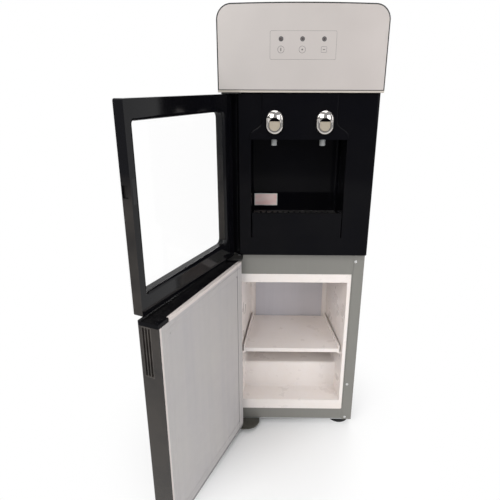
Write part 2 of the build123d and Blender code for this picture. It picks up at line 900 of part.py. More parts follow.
def cold_tank_jacket():
    """The foam block round the cold tank, in which the hose from the tap ends."""
    wide = cold_tank_radius + jacket
    front = seat_y - wide + jacket_front_cut
    bottom = deck_height + deck_sheet
    block = slab(-wide, wide, front, seat_y + wide, bottom, cold_tank_top + jacket)
    room = post(0, seat_y, bottom + jacket, cold_tank_top, cold_tank_radius)
    block -= fillet(room.edges(), tank_corner)
    return block - post(0, seat_y, cold_tank_top - 1, cold_tank_top + 40, seat_bore_radius + 6)


def hot_tank():
    """The steel boiler with its band heater, hung under the deck."""
    can = post(hot_tank_x, hot_tank_y, hot_tank_bottom, deck_height, hot_tank_radius)
    band_bottom = hot_tank_bottom + heater_band_bottom
    band_radius = hot_tank_radius + heater_band_thickness
    band = post(hot_tank_x, hot_tank_y, band_bottom, band_bottom + heater_band_height, band_radius)
    port = bar(-tap_spacing / 2, hot_port_z, hot_port_y, hot_tank_y - 20, hose_radius + 2)
    low, high = hot_tank_bottom + tank_wall, deck_height - tank_wall
    return can + band + port - post(hot_tank_x, hot_tank_y, low, high, hot_tank_radius - tank_wall)


def drain_spigot():
    """The drain pipe from the boiler's floor out through the back panel, with its collar."""
    pipe = tube(
        [
            (hot_tank_x, hot_tank_y, hot_tank_bottom),
            (drain_x, hot_tank_y, drain_z),
            (drain_x, drain_end, drain_z),
        ],
        18,
        drain_radius,
    )
    collar = bar(drain_x, drain_z, back_face, back_face + drain_collar_thickness, drain_collar_radius)
    return pipe + collar


def drain_cap():
    """The cap over the end of the drain."""
    start = back_face + drain_collar_thickness + slip
    cap = bar(drain_x, drain_z, start, drain_end + drain_cap_end, drain_cap_radius)
    cap = fillet(cap.edges().group_by(Axis.Y)[-1], 1.5)
    return cap - bar(drain_x, drain_z, back_face, drain_end + slip, drain_radius + pin_clearance)


# ---- cabinet ----
def tub_half_width(y):
    """Half the tub's inner width at a depth, as its sides draw in towards the back."""
    return tub_mouth_half_width - (tub_mouth_half_width - tub_back_half_width) * y / tub_back


def tapered(inset, y_from, y_to, z_from, z_to):
    """A block whose sides follow the tub's."""
    front, rear = tub_half_width(y_from) - inset, tub_half_width(y_to) - inset
    plan = make_face(
        Polyline((-front, y_from), (front, y_from), (rear, y_to), (-rear, y_to), close=True)
    )
    return Pos(0, 0, z_from) * extrude(plan, z_to - z_from)


def tub_room(grow):
    """The space inside the liner, with the step over the machine bay."""
    room = tapered(-grow, -1, tub_back + grow, tub_floor - grow, tub_roof + grow)
    room -= slab(-half, half, step_front + grow, back_face, 0, step_top - grow)
    rear = room.edges().filter_by(Axis.Z).group_by(Axis.Y)[-1]
    room = fillet(rear, tub_corner + grow)
    crease = room.edges().filter_by(Axis.X)
    low = [edge for edge in crease if edge.center().Z < step_top + 5]
    soft = [edge for edge in low if edge.center().Y > step_front - 1]
    return fillet(soft, step_radius)


def cabinet_liner():
    """The white tub with its front flange and the ribs that the shelf slides on."""
    behind = opening_half_width + liner_flange
    flange = slab(
        -behind,
        behind,
        2 * sheet,
        4 * sheet,
        opening_bottom - liner_flange,
        opening_top + liner_flange,
    )
    within = opening_half_width - liner_fit
    lip = front_slab(
        -within,
        within,
        opening_bottom + liner_fit,
        opening_top - liner_fit,
        sheet / 2,
        2 * sheet,
        liner_lip_corner,
    )
    walls = tub_room(tub_wall) - slab(-half, half, -20, 2 * sheet, 0, head_top)
    liner = flange + lip + walls - tub_room(0)
    ledge_top = shelf_top - shelf_rim - slip
    ledge_bottom = ledge_top - shelf_rib_height
    ribs = tapered(0, shelf_front + 2, tub_back - shelf_back_gap, ledge_bottom, ledge_top)
    ribs -= tapered(shelf_rib, shelf_front, tub_back, ledge_bottom - 1, ledge_top + 1)
    return liner + ribs


def cabinet_insulation():
    """The foam between the liner and the casing."""
    foam = slab(-inside, inside, 4 * sheet, insulation_back, pan_top, insulation_top)
    foam -= slab(-half, half, machine_bay_front, back_face, 0, machine_bay_top)
    foam -= tub_room(tub_wall)
    for side in (-1, 1):
        foam -= post(side * levelling_x, levelling_y, 0, levelling_stud_top + 5, levelling_stud + 2)
    return foam


def evaporator_plate():
    """The cold metal plate on the liner's back wall, with a low rim."""
    wide = evaporator_half_width
    low, high = step_top + evaporator_floor_gap, tub_roof - evaporator_roof_gap
    front = tub_back - evaporator_sheet
    plate = front_slab(-wide, wide, low, high, front, tub_back, evaporator_rim)
    rim = evaporator_rim
    field_back = front + evaporator_recess
    return plate - front_slab(rim - wide, wide - rim, low + rim, high - rim, front - 1, field_back, rim / 2)


def shelf():
    """The moulded shelf, with a deep front edge and low raised sides."""
    back = tub_back - shelf_back_gap
    bottom = shelf_top - shelf_rim
    within = shelf_side_gap + shelf_edge
    top = tapered(shelf_side_gap, shelf_front, back, bottom, shelf_top)
    top -= tapered(
        within, shelf_front + shelf_edge, back - shelf_edge, bottom - 1, shelf_top - shelf_thickness
    )
    sides = tapered(shelf_side_gap, shelf_front, back, shelf_top, shelf_top + shelf_lip)
    sides -= tapered(within, shelf_front - 1, back + 1, shelf_top - 1, shelf_top + shelf_lip + 1)
    shelf_plate = top + sides
    front_edges = shelf_plate.edges().filter_by(Axis.X).group_by(Axis.Y)[0]
    return fillet(front_edges.sort_by(Axis.Z)[-1:], 2)


# ---- upper door ----
def window_outline():
    """The window, with rounder corners on the hinge side than on the free side."""
    left, right, low, high = window
    outline = Pos((left + right) / 2, (low + high) / 2) * Rectangle(right - left, high - low)
    outline = fillet(outline.vertices().group_by(Axis.X)[0], window_hinge_corner)
    return fillet(outline.vertices().group_by(Axis.X)[-1], window_free_corner)


def closed_upper_frame():
    """The black frame behind the glass, with a rounded inner edge, hinge bores and a finger notch."""
    glass_back = door_face + upper_glass
    frame = front_slab(
        -door_half_width,
        door_half_width,
        upper_door_bottom,
        upper_door_top,
        glass_back,
        upper_door_back,
        upper_door_corner,
    )
    frame -= from_front(window_outline(), glass_back - 1, upper_door_back + 1)
    inner = frame.faces().sort_by(Axis.Y)[-1]
    frame = fillet(inner.inner_wires()[0].edges(), window_edge_radius)
    for z_from, z_to in (
        (upper_door_bottom - 1, upper_door_bottom + pin_reach),
        (upper_door_top - pin_reach, upper_door_top + 1),
    ):
        frame -= post(hinge_x, hinge_y, z_from, z_to, pin_radius + pin_clearance)
    notch = slab(
        door_half_width - finger_notch_depth,
        door_half_width + 1,
        glass_back + 2,
        upper_door_back - 6,
        finger_notch_bottom,
        finger_notch_bottom + finger_notch_height,
    )
    return frame - notch - closed_door_magnet()


def closed_upper_glass():
    """The pane over the whole front of the door."""
    inset = upper_glass_inset
    return front_slab(
        -door_half_width + inset,
        door_half_width - inset,
        upper_door_bottom + inset,
        upper_door_top - inset,
        door_face,
        door_face + upper_glass,
        upper_door_corner - inset,
    )


def closed_door_magnet():
    """The magnet sunk flush into the back of the frame's free side."""
    left, right = catch_x - catch_width / 2 + 1, catch_x + catch_width / 2 - 1
    low, high = catch_z - strike_height / 2 + 3, catch_z + strike_height / 2 - 3
    return slab(left, right, upper_door_back - magnet_thickness, upper_door_back, low, high)


# ---- lower door ----
def pin_boss(z_from, z_to):
    """A round boss about the hinge line."""
    return post(hinge_x, hinge_y, z_from, z_to, boss_radius)


def end_rim(length, z_from, z_to, face, gap):
    """The rim at the door's free side that wraps the inner panel's edge, grown by a gap."""
    inner = door_half_width - length - gap
    return slab(inner, door_half_width, lower_door_back, face, z_from - gap, z_to + gap)


def closed_lower_shell():
    """The black outer shell: front, sides and floor, with a rim and the lower hinge boss."""
    front = slab(
        -door_half_width, door_half_width, door_face, lower_door_back, lower_door_bottom, cap_bottom
    )
    front = fillet(front.edges().filter_by(Axis.Z).group_by(Axis.Y)[0], lower_door_edge_radius)
    wall = lower_door_wall
    front -= slab(
        -door_half_width + wall,
        door_half_width - wall,
        door_face + wall,
        lower_door_back + 1,
        lower_door_bottom + wall,
        cap_bottom + 1,
    )
    front += end_rim(wall, lower_door_bottom, cap_bottom, end_rim_face, 0)
    front += pin_boss(lower_door_bottom + wall / 2, lower_door_bottom + pin_reach + 3)
    front -= post(
        hinge_x, hinge_y, lower_door_bottom - 1, lower_door_bottom + pin_reach, pin_radius + pin_clearance
    )
    return front - grip_block(0)


def closed_top_cap():
    """The black cap along the top of the door, with a rim at its free end and the upper hinge boss."""
    cap = slab(-door_half_width, door_half_width, door_face, lower_door_back, cap_bottom, lower_door_top)
    cap = fillet(cap.edges().filter_by(Axis.Z).group_by(Axis.Y)[0], lower_door_edge_radius)
    cap += end_rim(cap_rim_length, cap_bottom, lower_door_top, end_rim_face, 0)
    cap += pin_boss(lower_door_top - pin_reach - 3, cap_bottom + 1)
    return cap - post(
        hinge_x, hinge_y, lower_door_top - pin_reach, lower_door_top + 1, pin_radius + pin_clearance
    )


def grip_block(gap):
    """The block in the door's free edge that the grip fills, less a gap all round."""
    return slab(
        door_half_width - grip_depth + gap,
        door_half_width,
        grip_middle - grip_width / 2 + gap,
        grip_middle + grip_width / 2 - gap,
        grip_bottom + gap,
        grip_bottom + grip_height - gap,
    )


def closed_grip():
    """The slotted grip set into the free edge."""
    grip = grip_block(grip_fit)
    span = grip_width - 2
    pitch = span / grip_slots
    for count in range(grip_slots):
        y = grip_middle - span / 2 + pitch * (count + 0.5)
        grip -= slab(
            door_half_width - grip_slot_depth,
            door_half_width + 1,
            y - grip_slot_width / 2,
            y + grip_slot_width / 2,
            grip_bottom + grip_slot_margin,
            grip_bottom + grip_height - grip_slot_margin,
        )
    return grip


def gasket_outline(inset):
    """The seal's outline on the inner panel, drawn in by an inset."""
    margin = gasket_margin + inset
    wide = door_half_width - margin
    low, high = lower_door_bottom + margin, lower_door_top - margin
    return Pos(0, (low + high) / 2) * RectangleRounded(2 * wide, high - low, gasket_corner)


def panel_hollow():
    """The room behind the inner panel's middle, which the foam fills."""
    middle = gasket_outline(gasket_width + gasket_groove_gap + inner_panel)
    return from_front(middle, lower_door_back, panel_face - inner_panel)


def closed_inner_panel():
    """The pale moulded sheet inside the door: grooved for the seal, cut back for the free side's rim
    and round where its hinge side swings past the casing."""
    inset = inner_panel_inset
    panel = front_slab(
        -door_half_width + inset,
        door_half_width - inset,
        lower_door_bottom + inset,
        lower_door_top - inset,
        lower_door_back,
        panel_face,
        inner_panel_corner,
    )
    swing_room = post(hinge_x, hinge_y, 0, lower_door_top, door_swing_radius)
    swing_room += slab(hinge_x, door_half_width, door_face, 0, 0, lower_door_top)
    panel = panel & swing_room
    panel -= end_rim(lower_door_wall, lower_door_bottom, cap_bottom, panel_face, slip)
    panel -= end_rim(cap_rim_length, cap_bottom, lower_door_top, panel_face, slip)
    ring = gasket_outline(-gasket_groove_gap) - gasket_outline(gasket_width + gasket_groove_gap)
    return panel - from_front(ring, gasket_face - gasket_depth, 0) - panel_hollow()


def closed_gasket():
    """The soft magnetic seal in the inner panel's groove."""
    ring = gasket_outline(0) - gasket_outline(gasket_width)
    seal = from_front(ring, gasket_face - gasket_depth, gasket_face)
    return fillet(seal.faces().sort_by(Axis.Y)[-1].edges(), gasket_edge_radius)


def closed_door_insulation():
    """The foam inside the lower door."""
    wall = lower_door_wall
    foam = slab(
        -door_half_width + wall,
        door_half_width - wall,
        door_face + wall,
        lower_door_back,
        lower_door_bottom + wall,
        cap_bottom,
    )
    foam -= pin_boss(lower_door_bottom, lower_door_bottom + pin_reach + 3)
    foam -= pin_boss(lower_door_top - pin_reach - 3, cap_bottom + 1)
    return foam - grip_block(0) + panel_hollow()


# ---- hinges ----
def top_hinge():
    """The leaf under the head with the pin that goes down into the glass door."""
    leaf = slab(-half + 3, top_leaf_right, hinge_y - 7, 24, top_leaf_bottom, head_bottom)
    leaf = fillet(leaf.edges().filter_by(Axis.Z).group_by(Axis.Y)[0], 6.9)
    return leaf + post(
        hinge_x, hinge_y, upper_door_top - pin_reach + 2, top_leaf_bottom + 0.5, pin_radius
    )


def middle_hinge():
    """The steel leaf between the doors, with a pin up and a pin down."""
    leaf = slab(-half + 3, middle_leaf_right, hinge_y - 9, 22, middle_leaf_bottom, middle_leaf_top)
    leaf = fillet(leaf.edges().filter_by(Axis.Z).group_by(Axis.Y)[0], 8)
    up = post(hinge_x, hinge_y, middle_leaf_top - 0.5, upper_door_bottom + pin_reach - 2, pin_radius)
    down = post(hinge_x, hinge_y, lower_door_top - pin_reach + 2, middle_leaf_bottom + 0.5, pin_radius)
    return leaf + up + down


def bottom_hinge():
    """The dark foot plate under the casing, round at the front, with the pin for the lower door."""
    leaf = slab(-half + 2, bottom_leaf_right, -bottom_leaf_reach, 23, bottom_leaf_bottom, foot_height)
    corners = leaf.edges().filter_by(Axis.Z).group_by(Axis.Y)[0].sort_by(Axis.X)
    leaf = fillet(corners[-1:], bottom_leaf_corner)
    leaf = fillet(leaf.edges().filter_by(Axis.Z).group_by(Axis.X)[0].sort_by(Axis.Y)[:1], 14)
    return leaf + post(
        hinge_x, hinge_y, foot_height - 0.5, lower_door_bottom + pin_reach - 2, pin_radius
    )


# ---- machine bay and rear ----
def compressor():
    """The sealed pot with its foot plate, terminal box and two pipe stubs."""
    x, y, base = compressor_x, compressor_y, compressor_base
    pot = post(x, y, base + 2, base + compressor_height, compressor_radius)
    pot = fillet(pot.edges().group_by(Axis.Z)[-1], compressor_dome)
    pot = fillet(pot.edges().group_by(Axis.Z)[0], compressor_heel)
    wide, deep = compressor_plate_half_width, compressor_plate_half_depth
    plate = slab(x - wide, x + wide, y - deep, y + deep, base, base + compressor_plate_thickness)
    plate = fillet(plate.edges().filter_by(Axis.Z), compressor_plate_corner)
    stubs = Pos(x, y, port_z) * Rot(0, 90, 0) * Cylinder(stub_radius, 2 * port_reach)
    left, right = x - terminal_half_width, x + terminal_half_width
    low, high = port_z - terminal_below, port_z + terminal_above
    box = slab(left, right, y - terminal_front, y - terminal_back, low, high)
    box = fillet(box.edges().filter_by(Axis.Y), terminal_corner)
    return pot + plate + stubs + box


def compressor_grommets():
    """Four rubber bushes between the compressor's plate and the base pan."""
    bushes = []
    for across in (-grommet_x, grommet_x):
        for along in (-grommet_y, grommet_y):
            x, y = compressor_x + across, compressor_y + along
            bushes.append(post(x, y, pan_top, compressor_base, grommet_radius))
    return group(*bushes)


def condenser_tube_shape():
    """The tube that runs to and fro behind the casing."""
    points = [(condenser_half_width, condenser_y, condenser_bottom - condenser_feed)]
    for row in range(condenser_rows):
        z = condenser_bottom + row * condenser_pitch
        side = 1 if row % 2 == 0 else -1
        points.append((side * condenser_half_width, condenser_y, z))
        points.append((-side * condenser_half_width, condenser_y, z))
    points.append((points[-1][0], condenser_y, condenser_top + condenser_end))
    return tube(points, condenser_pitch / 2 - 1, condenser_tube)


def condenser_wires_shape():
    """Upright wires in front of and behind the tube."""
    wires = []
    offset = condenser_tube + condenser_wire + 0.05
    first = -condenser_half_width + condenser_wire_margin
    pitch = -2 * first / (condenser_wires - 1)
    low, high = condenser_bottom - 10, condenser_top + 10
    for count in range(condenser_wires):
        x = first + pitch * count
        for side in (-1, 1):
            wires.append(post(x, condenser_y + side * offset, low, high, condenser_wire))
    return group(*wires)


def condenser_brackets():
    """Four clips that hold the condenser off the back panel."""
    clips = []
    for side in (-1, 1):
        for row in (1, condenser_rows - 2):
            z = condenser_bottom + row * condenser_pitch
            x = side * (condenser_half_width - condenser_clip_margin)
            wide, tall = condenser_clip_half_width, condenser_clip_half_height
            clip = slab(x - wide, x + wide, back_face, condenser_y + 5, z - tall, z + tall)
            clip = fillet(clip.edges().filter_by(Axis.X).group_by(Axis.Y)[-1], 3)
            pipe = Pos(x, condenser_y, z) * Rot(0, 90, 0) * Cylinder(condenser_tube + 0.05, 20)
            clips.append(clip - pipe)
    return group(*clips)


def refrigerant_pipes():
    """The pipe from the compressor to the condenser, and the one back from the evaporator."""
    right = compressor_x + port_reach
    left = compressor_x - port_reach
    rise_x, rise_y = left - inlet_offset, insulation_back + inlet_behind_foam
    return_z = opening_top - inlet_below_opening
    outlet = tube(
        [
            (right, compressor_y, port_z),
            (right + outlet_reach, compressor_y, port_z),
            (condenser_half_width, condenser_y, port_z + outlet_rise),
            (condenser_half_width, condenser_y, condenser_bottom - condenser_feed),
        ],
        pipe_bend,
        condenser_tube,
    )
    inlet = tube(
        [
            (left, compressor_y, port_z),
            (left - inlet_reach, compressor_y, port_z),
            (rise_x, rise_y, port_z + inlet_rise),
            (rise_x, rise_y, return_z),
            (rise_x, insulation_back, return_z),
        ],
        pipe_bend,
        condenser_tube,
    )
    return group(outlet, inlet)


def switch_housing(grow, reach):
    """The box behind the switch plate, grown for the hole that it passes through."""
    wide = switch_housing_half_width + grow
    tall = switch_housing_half_height + grow
    front = back_face - switch_housing_depth
    low, high = switch_z - tall, switch_z + tall
    return slab(switch_x - wide, switch_x + wide, front, back_face + reach, low, high)


def switch_plate():
    """The plate on the back panel with openings for the two rocker switches."""
    wide, tall = switch_plate_half_width, switch_plate_half_height
    plate = front_slab(
        switch_x - wide,
        switch_x + wide,
        switch_z - tall,
        switch_z + tall,
        back_face,
        back_face + switch_plate_thickness,
        4,
    )
    plate += switch_housing(0, 0)
    for side in (-1, 1):
        x = switch_x + side * rocker_spacing / 2
        plate -= slab(
            x - rocker_width / 2 - slip,
            x + rocker_width / 2 + slip,
            back_face - switch_housing_depth + 2,
            back_face + 5,
            switch_z - rocker_radius - slip,
            switch_z + rocker_radius + slip,
        )
    return plate


def rocker(side):
    """A rocker that turns about its own axle line, with a shallow V for the finger."""
    x = switch_x + side * rocker_spacing / 2
    wheel = Pos(x, rocker_y, switch_z) * Rot(0, 90, 0) * Cylinder(rocker_radius, rocker_width)
    for tilt in (-1, 1):
        cut = Pos(x, rocker_y, switch_z) * Rot(tilt * 14, 0, 0) * Pos(0, 5.5 + 10, tilt * -10)
        wheel -= cut * Box(rocker_width + 2, 20, 20)
    return wheel.rotate(Axis((x, rocker_y, switch_z), (1, 0, 0)), -rocker_tilt_angle)


def thermostat_knob():
    """The round cold control with its shaft through the back panel and a raised pointer."""
    start = back_face + slip
    end = start + knob_depth
    knob = bar(knob_x, knob_z, start, end, knob_radius)
    knob = fillet(knob.edges().group_by(Axis.Y)[-1], 2)
    knob += slab(knob_x - 1.5, knob_x + 1.5, end - 1, end + 1, knob_z - 1, knob_z + knob_radius - 2)
    return knob + bar(knob_x, knob_z, back_face - 12, start, knob_shaft)


def cord_gland():
    """The bush where the mains lead enters the casing."""
    gland = bar(gland_x, gland_z, back_face - gland_inside, back_face, gland_body)
    gland += bar(gland_x, gland_z, back_face, back_face + gland_proud, gland_body + gland_flange)
    return gland - bar(gland_x, gland_z, back_face - 10, back_face + 10, gland_bore)


# ---- the whole machine ----
pieces = {
    "side_panel_left": side_panel(-1),
    "side_panel_right": side_panel(1),
    "cabinet_front_frame": cabinet_front_frame(),
    "back_panel": back_panel(),
    "base_pan": base_pan(),
    "rear_feet": rear_feet(),
    "levelling_foot_left": levelling_foot(-1),
    "levelling_foot_right": levelling_foot(1),
    "casing_screws": casing_screws(),
    "head_surround": head_surround(),
    "head_panel": head_panel(),
    "indicator_lenses": indicator_lenses(),
    "control_board": control_board(),
    "top_cover": top_cover(),
    "bottle_seat": bottle_seat(),
    "bay_moulding": bay_moulding(),
    "door_strike": door_strike(),
    "drip_tray": drip_tray(),
    "drip_grid": drip_grid(),
    "tap_hoses": tap_hoses(),
    "tank_deck": tank_deck(),
    "cold_tank": cold_tank(),
    "cold_tank_jacket": cold_tank_jacket(),
    "hot_tank": hot_tank(),
    "drain_spigot": drain_spigot(),
    "drain_cap": drain_cap(),
    "cabinet_liner": cabinet_liner(),
    "cabinet_insulation": cabinet_insulation(),
    "evaporator_plate": evaporator_plate(),
    "shelf": shelf(),
    "upper_door_frame": swing(closed_upper_frame(), upper_door_angle),
    "upper_door_glass": swing(closed_upper_glass(), upper_door_angle),
    "upper_door_magnet": swing(closed_door_magnet(), upper_door_angle),
    "lower_door_shell": swing(closed_lower_shell(), lower_door_angle),
    "lower_door_top_cap": swing(closed_top_cap(), lower_door_angle),
    "lower_door_grip": swing(closed_grip(), lower_door_angle),
    "lower_door_inner_panel": swing(closed_inner_panel(), lower_door_angle),
    "lower_door_gasket": swing(closed_gasket(), lower_door_angle),
    "lower_door_insulation": swing(closed_door_insulation(), lower_door_angle),
    "top_hinge": top_hinge(),
    "middle_hinge": middle_hinge(),
    "bottom_hinge": bottom_hinge(),
    "compressor": compressor(),
    "compressor_grommets": compressor_grommets(),
    "condenser_tube": condenser_tube_shape(),
    "condenser_wires": condenser_wires_shape(),
    "condenser_brackets": condenser_brackets(),
    "refrigerant_pipes": refrigerant_pipes(),
    "switch_plate": switch_plate(),
    "heating_switch": rocker(-1),
    "cooling_switch": rocker(1),
    "thermostat_knob": thermostat_knob(),
    "cord_gland": cord_gland(),
}
for name, side in (("left", -1), ("right", 1)):
    pieces[f"tap_{name}_body"] = tap_body(side)
    pieces[f"tap_{name}_hood"] = tap_hood(side)
    pieces[f"tap_{name}_button"] = tap_button(side)

# middle of the footprint with the doors open
left_edge = opened(door_half_width, door_face, upper_door_angle)[0]
front_edge = opened(door_half_width, end_rim_face, lower_door_angle)[1]
origin_x = (left_edge + head_width / 2) / 2
origin_y = (front_edge + drain_end + drain_cap_end) / 2

os.makedirs("parts", exist_ok=True)
for name, shape in pieces.items():
    export_step(Pos(-origin_x, -origin_y, 0) * shape, f"parts/{name}.step")
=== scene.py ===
"""Looks of the water dispenser with the refrigerated cabinet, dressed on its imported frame."""

import math
import random

import bmesh
import bpy
from mathutils import Matrix, Vector
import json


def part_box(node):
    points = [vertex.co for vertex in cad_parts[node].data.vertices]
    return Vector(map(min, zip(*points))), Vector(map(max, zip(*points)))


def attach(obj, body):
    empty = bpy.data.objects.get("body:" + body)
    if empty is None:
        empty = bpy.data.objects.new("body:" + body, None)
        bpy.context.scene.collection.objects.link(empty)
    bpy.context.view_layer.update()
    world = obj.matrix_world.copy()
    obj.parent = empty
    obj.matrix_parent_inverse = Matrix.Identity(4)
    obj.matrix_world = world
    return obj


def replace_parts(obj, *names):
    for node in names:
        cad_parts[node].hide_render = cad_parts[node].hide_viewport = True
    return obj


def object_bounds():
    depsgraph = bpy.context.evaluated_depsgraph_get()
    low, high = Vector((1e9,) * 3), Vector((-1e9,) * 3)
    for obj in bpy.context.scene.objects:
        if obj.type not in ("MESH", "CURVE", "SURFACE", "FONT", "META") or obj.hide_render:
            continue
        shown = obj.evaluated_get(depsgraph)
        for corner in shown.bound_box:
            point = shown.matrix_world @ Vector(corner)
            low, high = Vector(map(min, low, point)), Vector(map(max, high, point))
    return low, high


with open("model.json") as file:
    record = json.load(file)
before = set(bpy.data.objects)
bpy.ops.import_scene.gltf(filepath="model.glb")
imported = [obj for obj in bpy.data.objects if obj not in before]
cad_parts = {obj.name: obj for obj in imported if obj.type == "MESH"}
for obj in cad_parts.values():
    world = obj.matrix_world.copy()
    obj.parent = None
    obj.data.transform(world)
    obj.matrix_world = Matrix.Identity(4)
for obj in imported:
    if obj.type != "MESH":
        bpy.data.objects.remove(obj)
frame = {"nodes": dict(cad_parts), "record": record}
cad_low, cad_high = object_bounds()
nodes = frame["nodes"]
random.seed(7)

# The CAD source draws about the middle of the cabinet's front edge, so pieces are placed from
# there, in millimetres: x to the right, y to the back and z up.
panel_low, panel_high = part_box("side_panel_right")
HALF_WIDTH = 160.0
ORIGIN = Vector((panel_high.x - HALF_WIDTH / 1000, panel_low.y, 0))
HINGE = (-146.2, -26.0)  # x and y
UPPER_OPEN = math.radians(114.4)
LOWER_OPEN = math.radians(112.8)
HEAD_FACE = -24.5  # y
LAMPS = (-41.0, 0.0, 41.5)  # x of each
LAMP_HEIGHT = 925.6
NICHE_BACK = 83.0  # y
BACK_FACE = 285.0  # y
TAP_X = 51.0
TAP_HEIGHT = 771.0
BUTTON_FACE = -27.5  # y
KNOB = (95.0, 690.0)  # x and z
DRAIN_CAP = (-60.0, 590.0)  # x and z


def at(x, y, z):
    """A point of the CAD source's own drawing, in the shared frame."""
    return Vector((x / 1000, y / 1000, z / 1000)) + ORIGIN


def door_direction(angle):
    """The way a door points from its hinge when it stands open by an angle."""
    return Vector((math.cos(angle), -math.sin(angle), 0))


def swung(angle):
    """Turns a door piece drawn closed to where the door stands open."""
    pivot = at(*HINGE, 0)
    return Matrix.Translation(pivot) @ Matrix.Rotation(-angle, 4, "Z") @ Matrix.Translation(-pivot)


# ---- materials ----
def scaled(colour, factor):
    """A colour with each channel times a factor."""
    return tuple(min(1, factor * channel) for channel in colour)


class Finish:
    """A Principled material built up in layers, with everything placed in the shared frame."""

    def __init__(self, name, colour, rough, **sockets):
        self.material = bpy.data.materials.new(name)
        self.material.use_nodes = True
        self.nodes = self.material.node_tree.nodes
        self.links = self.material.node_tree.links
        self.shader = self.nodes["Principled BSDF"]
        self.place = self.nodes.new("ShaderNodeTexCoord").outputs["Object"]
        self.colour = (*colour, 1)
        self.shader.inputs["Base Color"].default_value = self.colour
        self.shader.inputs["Roughness"].default_value = rough
        for socket, value in sockets.items():
            self.shader.inputs[socket.replace("_", " ")].default_value = value

    def feed(self, socket, value):
        """Links a socket, or sets it where the value is a plain one."""
        if hasattr(value, "is_output"):
            self.links.new(value, socket)
        else:
            socket.default_value = value

    def stretched(self, scale):
        """The place in the frame, scaled along each axis."""
        node = self.nodes.new("ShaderNodeMapping")
        self.links.new(self.place, node.inputs["Vector"])
        node.inputs["Scale"].default_value = scale
        return node.outputs["Vector"]

    def noise(self, scale, detail, stretch=None, rough=0.55):
        """Soft patches, from nought to one."""
        node = self.nodes.new("ShaderNodeTexNoise")
        node.inputs["Scale"].default_value = scale
        node.inputs["Detail"].default_value = detail
        node.inputs["Roughness"].default_value = rough
        self.links.new(self.stretched(stretch) if stretch else self.place, node.inputs["Vector"])
        return node.outputs["Fac"]

    def cells(self, scale):
        """Fine cells: the distance from the nearest cell's middle."""
        node = self.nodes.new("ShaderNodeTexVoronoi")
        node.inputs["Scale"].default_value = scale
        self.links.new(self.place, node.inputs["Vector"])
        return node.outputs["Distance"]

    def spread(self, value, low, high, to_low=0.0, to_high=1.0):
        """Maps one range of a value to another, and holds it at the ends."""
        node = self.nodes.new("ShaderNodeMapRange")
        self.links.new(value, node.inputs["Value"])
        ends = {"From Min": low, "From Max": high, "To Min": to_low, "To Max": to_high}
        for socket, number in ends.items():
            node.inputs[socket].default_value = number
        return node.outputs["Result"]

    def maths(self, kind, first, second=0.0):
        """A sum, product or the like of two values."""
        node = self.nodes.new("ShaderNodeMath")
        node.operation = kind
        self.feed(node.inputs[0], first)
        self.feed(node.inputs[1], second)
        return node.outputs["Value"]

    def component(self, vector, axis):
        """One coordinate of a vector."""
        node = self.nodes.new("ShaderNodeSeparateXYZ")
        self.links.new(vector, node.inputs["Vector"])
        return node.outputs[axis]

    def dotted(self, vector, direction):
        """How far a vector goes along a direction."""
        node = self.nodes.new("ShaderNodeVectorMath")
        node.operation = "DOT_PRODUCT"
        self.links.new(vector, node.inputs[0])
        node.inputs[1].default_value = direction
        return node.outputs["Value"]

    def facing_up(self):
        """How far the surface faces up as it now stands, from -1 to 1."""
        return self.component(self.nodes.new("ShaderNodeNewGeometry").outputs["Normal"], "Z")

    def facing(self, direction):
        """How far the surface faces a direction of its own piece, however that piece is turned."""
        return self.dotted(self.nodes.new("ShaderNodeTexCoord").outputs["Normal"], direction)

    def reach(self, angle):
        """The distance from the hinge line along a door that stands open by an angle."""
        direction = door_direction(angle)
        return self.maths("SUBTRACT", self.dotted(self.place, direction), at(*HINGE, 0).dot(direction))

    def coordinate(self, axis):
        """The place along an axis of the frame, in metres."""
        return self.component(self.place, axis)

    def below(self, level, soft=0.0006):
        """One under a level of the frame and nought over it."""
        return self.spread(self.coordinate("Z"), level - soft, level + soft, 1, 0)

    def tint(self, amount, colour, strength=1.0):
        """Moves the colour towards another where amount is high."""
        node = self.nodes.new("ShaderNodeMix")
        node.data_type = "RGBA"
        fac = self.maths("MULTIPLY", amount, strength) if strength != 1.0 else amount
        self.links.new(fac, node.inputs["Factor"])
        self.feed(node.inputs["A"], self.colour)
        node.inputs["B"].default_value = (*colour, 1)
        self.colour = node.outputs["Result"]
        self.links.new(self.colour, self.shader.inputs["Base Color"])
        return self

    def roughen(self, amount, low, high):
        """Varies the roughness between two values."""
        self.links.new(self.spread(amount, 0.3, 0.7, low, high), self.shader.inputs["Roughness"])
        return self

    def bump(self, amount, distance, strength):
        """Raises the surface by a distance, on top of the bumps it has."""
        node = self.nodes.new("ShaderNodeBump")
        node.inputs["Distance"].default_value = distance
        node.inputs["Strength"].default_value = strength
        self.links.new(amount, node.inputs["Height"])
        if self.shader.inputs["Normal"].is_linked:
            self.links.new(self.shader.inputs["Normal"].links[0].from_socket, node.inputs["Normal"])
        self.links.new(node.outputs["Normal"], self.shader.inputs["Normal"])
        return self

    def dust(self, strength, colour=(0.32, 0.30, 0.27)):
        """A thin film of dust where the surface faces up."""
        up = self.spread(self.facing_up(), 0.2, 1.0)
        patchy = self.spread(self.noise(28, 6, rough=0.7), 0.35, 0.75)
        return self.tint(self.maths("MULTIPLY", up, patchy), colour, strength)


